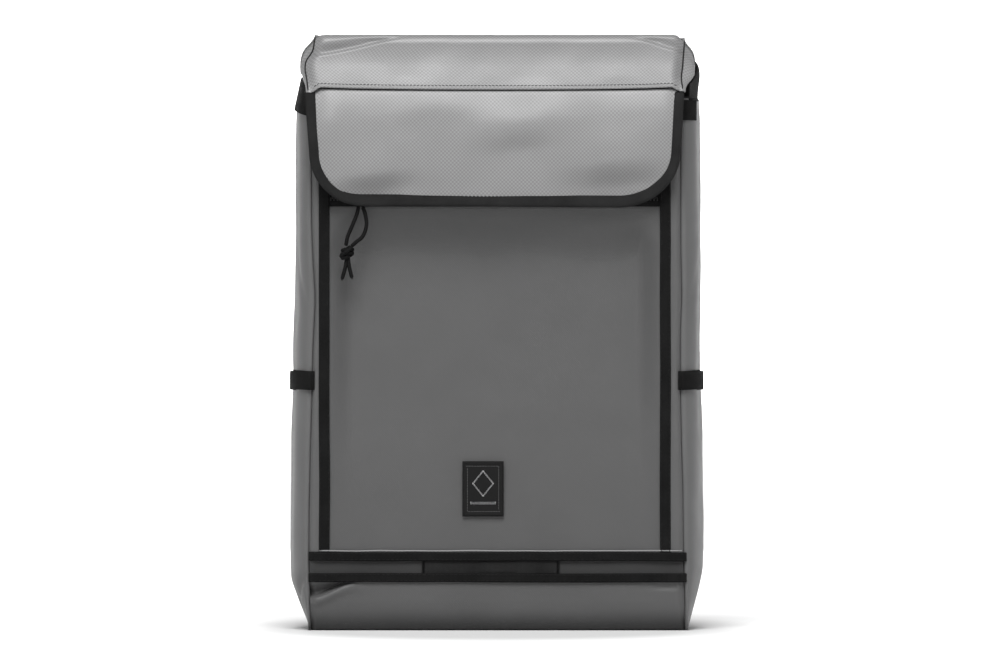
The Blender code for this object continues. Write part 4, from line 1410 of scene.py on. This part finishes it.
STRAP_THICKNESS = 0.011
STRAP_WIDTHS = (0.062, 0.036)
STRAP_ROUTE = ((0.0880, 0.0740, 0.4250), (0.0880, 0.0960, 0.4250), (0.0900, 0.1150, 0.4080),
               (0.0940, 0.1220, 0.3700), (0.0985, 0.1220, 0.3100), (0.1030, 0.1220, 0.2500),
               (0.1080, 0.1120, 0.1900), (0.1130, 0.0990, 0.1400))
LOCK_AT = Vector((0.1135, 0.0975, 0.1250))
LOWER_WEB_ROUTE = ((0.1600, 0.0790, 0.0480), (0.1500, 0.0835, 0.0650), (0.1330, 0.0905, 0.0900),
                   (0.1210, 0.0940, 0.1100))
RAIL_WIDTH = 0.020
STRAP_OUT = Vector((0.0, 1.0, 1.0))
# Shares of the shoulder strap's length with a bar tack
TACKS_AT = (0.30, 0.45, 0.62, 0.78)


def pad_section(width, thickness):
    """A foam strap's section, full in the middle and thin at its bound edges."""
    ring = []
    for k in range(28):
        turn = 2 * math.pi * k / 28
        across = math.copysign(abs(math.cos(turn)) ** 0.6, math.cos(turn)) * width / 2
        ring.append((across, math.copysign(abs(math.sin(turn)) ** 0.85, math.sin(turn)) * thickness / 2))
    return ring


def offset_route(route, facing, across, out):
    """The route moved sideways by across(t) and outwards by out, as swept() would place a point."""
    moved = []
    for i, point in enumerate(route):
        tangent = tangent_at(route, i)
        up = square_to(tangent, facing)
        moved.append(point + tangent.cross(up) * across(i / (len(route) - 1)) + up * out)
    return moved


def make_shoulder_strap(side, name):
    body = f"{name}_shoulder_strap"
    route = smooth_route(mirrored(STRAP_ROUTE, side), 14)

    def width(t):
        return mix(*STRAP_WIDTHS, t) * (1 - 0.30 * fade(t, 0.93, 1.0))

    def section(t):
        soft = 1 + 0.05 * math.sin(t * 31 + side)
        return pad_section(width(t), STRAP_THICKNESS * soft * (1 - 0.5 * fade(t, 0.94, 1.0)))

    pad = swept(f"shoulder_pad_{name}", route, section, "spacer_mesh", body, [f"shoulder_strap_{name}"],
                STRAP_OUT, 80)
    for number, edge in enumerate((-1, 1)):
        rim = offset_route(route, STRAP_OUT, lambda t: edge * (width(t) / 2 - 0.0003), 0.0)
        tube(f"shoulder_binding_{name}_{number}", rim, 0.0020, "binding", body)
    lift = STRAP_THICKNESS / 2 + 0.0008
    rail = offset_route(route, STRAP_OUT, lambda t: 0.0, lift)[10:]
    strap(f"shoulder_rail_{name}", rail, RAIL_WIDTH, WEBBING, "webbing", body, facing=STRAP_OUT)
    for number, edge in enumerate((-1, 1)):
        row = offset_route(route, STRAP_OUT, lambda t: edge * (RAIL_WIDTH / 2 - 0.0016), lift + WEBBING / 2)
        stitches(f"shoulder_stitch_{name}_{number}", row[12:-4], "binding_thread", body, out=BACK)
    tacked = offset_route(route, STRAP_OUT, lambda t: 0.0, lift + WEBBING)
    for number, share in enumerate(TACKS_AT):
        at = tacked[int(share * (len(route) - 1))]
        level_tack(f"shoulder_tack_{name}_{number}", at, RAIL_WIDTH * 0.8, body)
    make_lower_webbing(side, name, body)


def level_tack(name, centre, width, body="pack"):
    """A bar tack that lies across an upright webbing."""
    reach = RIGHT * (width / 2)
    zigzag(name, centre - reach, centre + reach, UP * 0.0009, 24, "binding_thread", body)


def make_lower_webbing(side, name, body):
    """Webbing from the anchor to the ladder lock, which feeds a short free tail."""
    shown(f"ladder_lock_{name}", "black_plastic")
    route = smooth_route(mirrored(LOWER_WEB_ROUTE, side), 8)
    lock = Vector((side * LOCK_AT.x, LOCK_AT.y, LOCK_AT.z))
    tail_end = lock + Vector((0.0, 0.0006, -0.006))
    whole = [*route, mix(route[-1], tail_end, 0.6), tail_end]
    lower = strap(f"lower_strap_{name}", whole, RAIL_WIDTH, WEBBING, "webbing", None,
                  [f"lower_webbing_{name}"], BACK)
    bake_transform(lower)
    top = lock + Vector((0.0, 0.0032, 0.004))
    tail = smooth_route([top, top + Vector((0, 0.0030, -0.014)), top + Vector((side * 0.002, 0.0052, -0.040)),
                         top + Vector((side * 0.0035, 0.0030, -0.075))], 8)
    strap(f"webbing_tail_{name}", tail, RAIL_WIDTH, WEBBING, "webbing", body, facing=BACK)
    fold = [tail[-1] + Vector((0, 0.0014, 0.0)), tail[-1] + Vector((0, 0.0016, 0.010))]
    strap(f"webbing_tail_fold_{name}", fold, RAIL_WIDTH, WEBBING, "webbing", body, facing=BACK)
    upper = [lock + Vector((0.0, 0.0010, rise)) for rise in (0.006, 0.013, 0.022)]
    strap(f"lock_webbing_{name}", upper, RAIL_WIDTH, WEBBING, "webbing", body, facing=BACK)


def make_anchor(side, name):
    """A sewn triangle of webbing that holds the lower webbing at the base."""
    low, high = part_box(f"strap_anchor_{name}")

    def shape(u, v):
        z = mix(low.z, high.z, v)
        share = u if side > 0 else 1 - u
        inner = mix(abs(low.x) if side > 0 else abs(high.x), 0.1645, fade(v, 0.75, 1.0) * 0.5)
        outer = max(abs(low.x), abs(high.x)) - 0.0035 * abs(2 * v - 1) ** 2
        return side * mix(inner, outer, share), high.y - 0.0008 - 0.0030 * fade(share, 0.75, 1.0), z

    cloth_sheet(f"anchor_cloth_{name}", shape, (18, 22), (0.0235, 0.028), 0.0018, "webbing",
                stands_for=[f"strap_anchor_{name}"], flip=True)
    inner = min(abs(low.x), abs(high.x))
    rows = [[Vector((side * (inner + 0.003 + 0.015 * i / 8), high.y - 0.0006, z)) for i in range(9)]
            for z in (low.z + 0.004, high.z - 0.004)]
    for number, row in enumerate(rows):
        stitches(f"anchor_stitch_{name}_{number}", row, "binding_thread", out=BACK)


def shown(node, look):
    """A CAD node that stays, in a better material."""
    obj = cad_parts[node]
    obj.data.materials.clear()
    obj.data.materials.append(MATERIALS[look])
    return obj


def make_sternum(name):
    body = f"{name}_sternum"
    for part in ("slider", "buckle"):
        shown(f"sternum_{part}_{name}", "black_plastic")
    low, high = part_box(f"sternum_webbing_{name}")
    x = (low.x + high.x) / 2
    y = (low.y + high.y) / 2
    top = high.z + 0.004
    bottom = low.z - 0.003
    route = sampled(16, lambda t: (x, y + 0.0004 * math.sin(math.pi * t), mix(top, bottom, t)))
    strap(f"sternum_strap_{name}", route, high.x - low.x, WEBBING, "webbing", body,
          [f"sternum_webbing_{name}"], BACK)
    shifts = [RIGHT * edge + BACK * (WEBBING * 0.6) for edge in (-0.0058, 0.0058)]
    stitch_rows(f"sternum_stitch_{name}", route[2:-2], shifts, "binding_thread", body, BACK)


YOKE_BAND_Z = (0.4360, 0.4140)
YOKE_BAND_HALF = 0.132


def make_yoke_band():
    """A band of webbing sewn over the roots of the shoulder straps."""
    for number, z in enumerate(YOKE_BAND_Z):
        route = sampled(40, lambda t: (mix(-YOKE_BAND_HALF, YOKE_BAND_HALF, t), BACK_Y + WEBBING / 2, z))
        strap(f"back_yoke_band_{number}", route, 0.006, WEBBING, "webbing", facing=BACK)
        row = [point + BACK * WEBBING / 2 for point in route]
        stitches(f"back_yoke_stitch_{number}", row, "binding_thread", out=BACK)


HANDLE_ROUTE = ((-0.046, 0.0800, 0.4315), (-0.0465, 0.0800, 0.4200), (-0.040, 0.0802, 0.4060),
                (-0.021, 0.0805, 0.4005), (0.0, 0.0805, 0.3995), (0.021, 0.0805, 0.4005),
                (0.040, 0.0802, 0.4060), (0.0465, 0.0800, 0.4200), (0.046, 0.0800, 0.4315))
HANDLE_TACK_Z = (0.4520, 0.4440)


def make_haul_handle():
    """Webbing rolled and sewn into a grip, whose flat ends are tacked to the back."""
    route = smooth_route(HANDLE_ROUTE, 8)

    def section(t):
        grip = fade(t, 0.08, 0.24) * (1 - fade(t, 0.76, 0.92))
        return pad_section(mix(0.0100, 0.0094, grip), mix(0.0050, 0.0092, grip))

    swept("haul_handle_grip", route, section, "webbing", "haul_handle", ["haul_handle"], BACK, 80)
    row = offset_route(route, BACK, lambda t: 0.0, 0.0046)[14:-14]
    stitches("haul_handle_stitch", row, "binding_thread", "haul_handle", out=BACK)
    for side, name in SIDES:
        x = side * HANDLE_ROUTE[-1][0]
        tab = [Vector((x, BACK_Y + 0.0008, 0.4560)), Vector((x, BACK_Y + 0.0010, 0.4440)),
               Vector((x, BACK_Y + 0.0030, 0.4375)), Vector((x, BACK_Y + 0.0066, 0.4345))]
        strap(f"haul_handle_tab_{name}", smooth_route(tab, 5), 0.018, WEBBING, "webbing", facing=STRAP_OUT)
        for number, z in enumerate(HANDLE_TACK_Z):
            level_tack(f"haul_handle_tack_{name}_{number}", Vector((x, BACK_Y + 0.0019, z)), 0.014)


# Inside

def make_inside():
    shown("base_stiffener", "board")
    shown("frame_sheet", "board")
    shown("zip_slider", "zip_metal")
    make_liner()
    low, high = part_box("pocket_inner_wall")

    def wall(u, v):
        x = mix(low.x, high.x, u)
        z = mix(low.z, high.z, v)
        return x, low.y + 0.0004 * ripple(x, 3.0, z, 20.0), z

    cloth_sheet("pocket_wall_cloth", wall, (50, 60), (high.x - low.x, high.z - low.z), 0.0012, "liner",
                stands_for=["pocket_inner_wall"])
    make_sleeve()
    make_mouth_binding()


def make_sleeve():
    """A laptop sleeve that hangs a little open, with a bound top edge."""
    low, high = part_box("laptop_sleeve")

    def shape(u, v):
        x = mix(low.x, high.x, u)
        z = mix(low.z, high.z, v)
        sag = 0.0016 * math.sin(math.pi * u) * v + 0.0005 * ripple(x, 5.0, z, 20.0)
        return x, low.y - sag, z

    cloth_sheet("sleeve_cloth", shape, (50, 60), (high.x - low.x, high.z - low.z), 0.0014, "liner",
                stands_for=["laptop_sleeve"])
    edge = [point + BACK * 0.0007 for point in sampled(40, lambda t: shape(t, 1.0))]
    tube("sleeve_binding", edge, BOUND_EDGE, "binding")


LINER_STEP = 0.008


def make_liner():
    """A thin open-topped bag with soft creases, a little smaller than the walls."""
    low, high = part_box("main_liner")
    corner = 0.012
    around = []
    left, right = low.x + corner, high.x - corner
    front, rear = low.y + corner, high.y - corner
    centres = ((right, rear, 0), (left, rear, 90), (left, front, 180), (right, front, 270))
    for centre_x, centre_y, start in centres:
        for i in range(9):
            turn = math.radians(start + 90 * i / 8)
            around.append((centre_x + corner * math.cos(turn), centre_y + corner * math.sin(turn)))
    ring = []
    for (ax, ay), (bx, by) in zip(around, around[1:] + around[:1]):
        pieces = max(1, round(math.hypot(bx - ax, by - ay) / LINER_STEP))
        ring += [(mix(ax, bx, i / pieces), mix(ay, by, i / pieces)) for i in range(pieces)]
    levels = [mix(low.z + 0.0006, high.z, i / 54) for i in range(55)]
    travelled = 0.0
    distance = []
    for (ax, ay), (bx, by) in zip(ring, ring[1:] + ring[:1]):
        distance.append(travelled)
        travelled += math.hypot(bx - ax, by - ay)
    points = []
    weave = []
    for shift, heights in ((0.0, levels), (0.0009, levels[::-1])):
        for z in heights:
            for (x, y), way in zip(ring, distance):
                crease = 0.0006 + 0.0008 * (1 + ripple(x, y, z, 16.0))
                pull = 1 - (shift + crease) / math.hypot(x, y)
                points.append((x * pull, y * pull, z + shift * (z < low.z + 0.001)))
                weave.append((way, z))
    faces = capped_faces(2 * len(levels), len(ring))
    liner = closed_piece("liner_bag", points, faces, weave, "liner", stands_for=["main_liner"])


MOUTH_REAR = 0.060
BOUND_EDGE = 0.0016


def make_mouth_binding():
    """Tape bound over the raw edge of the pack's mouth."""
    front = SIDE_FRONT_Y + 0.004
    route = [(-side_x(MOUTH_REAR, WALL_TOP, -1) + 0.0008, MOUTH_REAR, WALL_TOP)]
    for i in range(1, 20):
        y = mix(MOUTH_REAR, front, i / 19)
        route.append((-side_x(y, WALL_TOP, -1) + 0.0022, y, WALL_TOP))
    ends = (-seam_x(WALL_TOP, -1), seam_x(WALL_TOP, 1))
    route += [(mix(*ends, i / 40), FRONT_Y + 0.0006, WALL_TOP) for i in range(1, 40)]
    for i in range(20):
        y = mix(front, MOUTH_REAR, i / 19)
        route.append((side_x(y, WALL_TOP, 1) - 0.0022, y, WALL_TOP))
    tube("mouth_binding", [Vector(point) for point in route], BOUND_EDGE, "binding")


# Camera, light and floor

CAMERA_HEIGHT = 0.251
CAMERA_DISTANCE = 8.0
FRAME_WIDTH = 0.8366
FRAME_PLANE_Y = -0.080
STUDIO_RADIUS = 18.0
STUDIO_HEIGHT = 2.2
STUDIO_SIDES = 48


def make_camera():
    """Level and straight on, from far off."""
    data = bpy.data.cameras.new("camera")
    data.sensor_width = 36.0
    data.lens = data.sensor_width * CAMERA_DISTANCE / FRAME_WIDTH
    data.clip_end = 60.0
    camera = bpy.data.objects.new("camera", data)
    camera.location = (0.0004, FRAME_PLANE_Y - CAMERA_DISTANCE, CAMERA_HEIGHT)
    camera.rotation_euler = (math.radians(90), 0.0, 0.0)
    bpy.context.scene.collection.objects.link(camera)
    bpy.context.scene.camera = camera


def make_softbox(name, at, aim, size, watts):
    data = bpy.data.lights.new(name, "AREA")
    data.shape = "RECTANGLE"
    data.size, data.size_y = size
    data.energy = watts
    light = bpy.data.objects.new(name, data)
    light.location = at
    light.rotation_euler = (Vector(aim) - Vector(at)).to_track_quat("-Z", "Y").to_euler()
    bpy.context.scene.collection.objects.link(light)


def make_studio():
    scene = bpy.context.scene
    scene.view_settings.view_transform = "Standard"
    scene.world = bpy.data.worlds.new("studio")
    scene.world.use_nodes = True
    sky = scene.world.node_tree.nodes["Background"]
    sky.inputs["Color"].default_value = (1.0, 1.0, 1.0, 1.0)
    sky.inputs["Strength"].default_value = 0.05
    sun = bpy.data.lights.new("overhead", "SUN")
    sun.energy = 3.85
    sun.angle = math.radians(34)
    lamp = bpy.data.objects.new("overhead", sun)
    lamp.rotation_euler = Vector((0.03, 0.78, -1.0)).to_track_quat("-Z", "Y").to_euler()
    scene.collection.objects.link(lamp)
    make_softbox("key", (-0.5, -1.7, 1.9), (0.0, 0.0, 0.30), (1.4, 1.0), 11.0)
    make_softbox("fill_left", (-2.0, -0.7, 0.7), (0.0, 0.0, 0.25), (0.9, 1.6), 0.7)
    make_softbox("fill_right", (2.0, -0.7, 0.7), (0.0, 0.0, 0.25), (0.9, 1.6), 0.9)
    make_softbox("back", (0.0, 2.6, 1.1), (0.0, 0.0, 0.25), (1.6, 1.2), 40.0)
    turns = [2 * math.pi * i / STUDIO_SIDES for i in range(STUDIO_SIDES)]
    ring = [(STUDIO_RADIUS * math.cos(turn), STUDIO_RADIUS * math.sin(turn)) for turn in turns]
    floor = [(x, y, 0.0) for x, y in ring]
    # The floor is painted darker near the pack, a painted shadow, and glows a little further off, painted
    # light.
    make_part_of_studio("floor", floor, [tuple(range(STUDIO_SIDES))], (0.60, 0.88), (0.0, 0.10))
    wall = [(x, y, z) for z in (-0.5, STUDIO_HEIGHT) for x, y in ring]
    faces = [(a, b, STUDIO_SIDES + b, STUDIO_SIDES + a)
             for a, b in ((i, (i + 1) % STUDIO_SIDES) for i in range(STUDIO_SIDES))]
    make_part_of_studio("backdrop", wall, faces, (0.9, 0.9), (1.05, 1.05))


def make_part_of_studio(name, points, faces, shades, glows):
    """Matt. shades and glows each give the value near the pack and the value far from it. On the floor, the
    darker base colour without glow near the pack is a painted shadow, and the glow further off is painted
    light.
    """
    mesh = bpy.data.meshes.new(name)
    mesh.from_pydata(points, [], faces)
    nodes = Nodes(name)
    near_pack = nodes.add("ShaderNodeVectorMath", operation="MULTIPLY")
    near_pack.inputs[1].default_value = (2.2, 1.4, 1.0)
    nodes.join(nodes.add("ShaderNodeTexCoord").outputs["Object"], near_pack.inputs[0])
    length = nodes.add("ShaderNodeVectorMath", operation="LENGTH")
    nodes.join(near_pack.outputs[0], length.inputs[0])
    for socket, (near, far) in (("Base Color", shades), ("Emission Strength", glows)):
        spread = nodes.add("ShaderNodeMapRange", interpolation_type="SMOOTHSTEP")
        for key, value in (("From Min", 0.34), ("From Max", 0.56), ("To Min", near), ("To Max", far)):
            spread.inputs[key].default_value = value
        nodes.join(length.outputs["Value"], spread.inputs["Value"])
        nodes.join(spread.outputs[0], nodes.shader.inputs[socket])
    nodes.shader.inputs["Roughness"].default_value = 0.9
    nodes.shader.inputs["Specular IOR Level"].default_value = 0.0
    nodes.shader.inputs["Emission Color"].default_value = (1.0, 1.0, 1.0, 1.0)
    mesh.materials.append(nodes.material)
    obj = bpy.data.objects.new(name, mesh)
    bpy.context.scene.collection.objects.link(obj)


# The whole pack

make_camera()
make_pull()
make_slider()
make_lid()
make_flap()
make_front_panel()
make_yoke()
make_zip()
make_patch()
make_lash_bands()
make_base()
for _side, _name in SIDES:
    make_border(_side, _name)
    make_front_tape(_side, _name)
    make_side(_side, _name)
    make_side_strap(_side, _name)
    make_upper_tab(_side, _name)
    make_collar(_side, _name)
make_back()
make_inside()
make_studio()
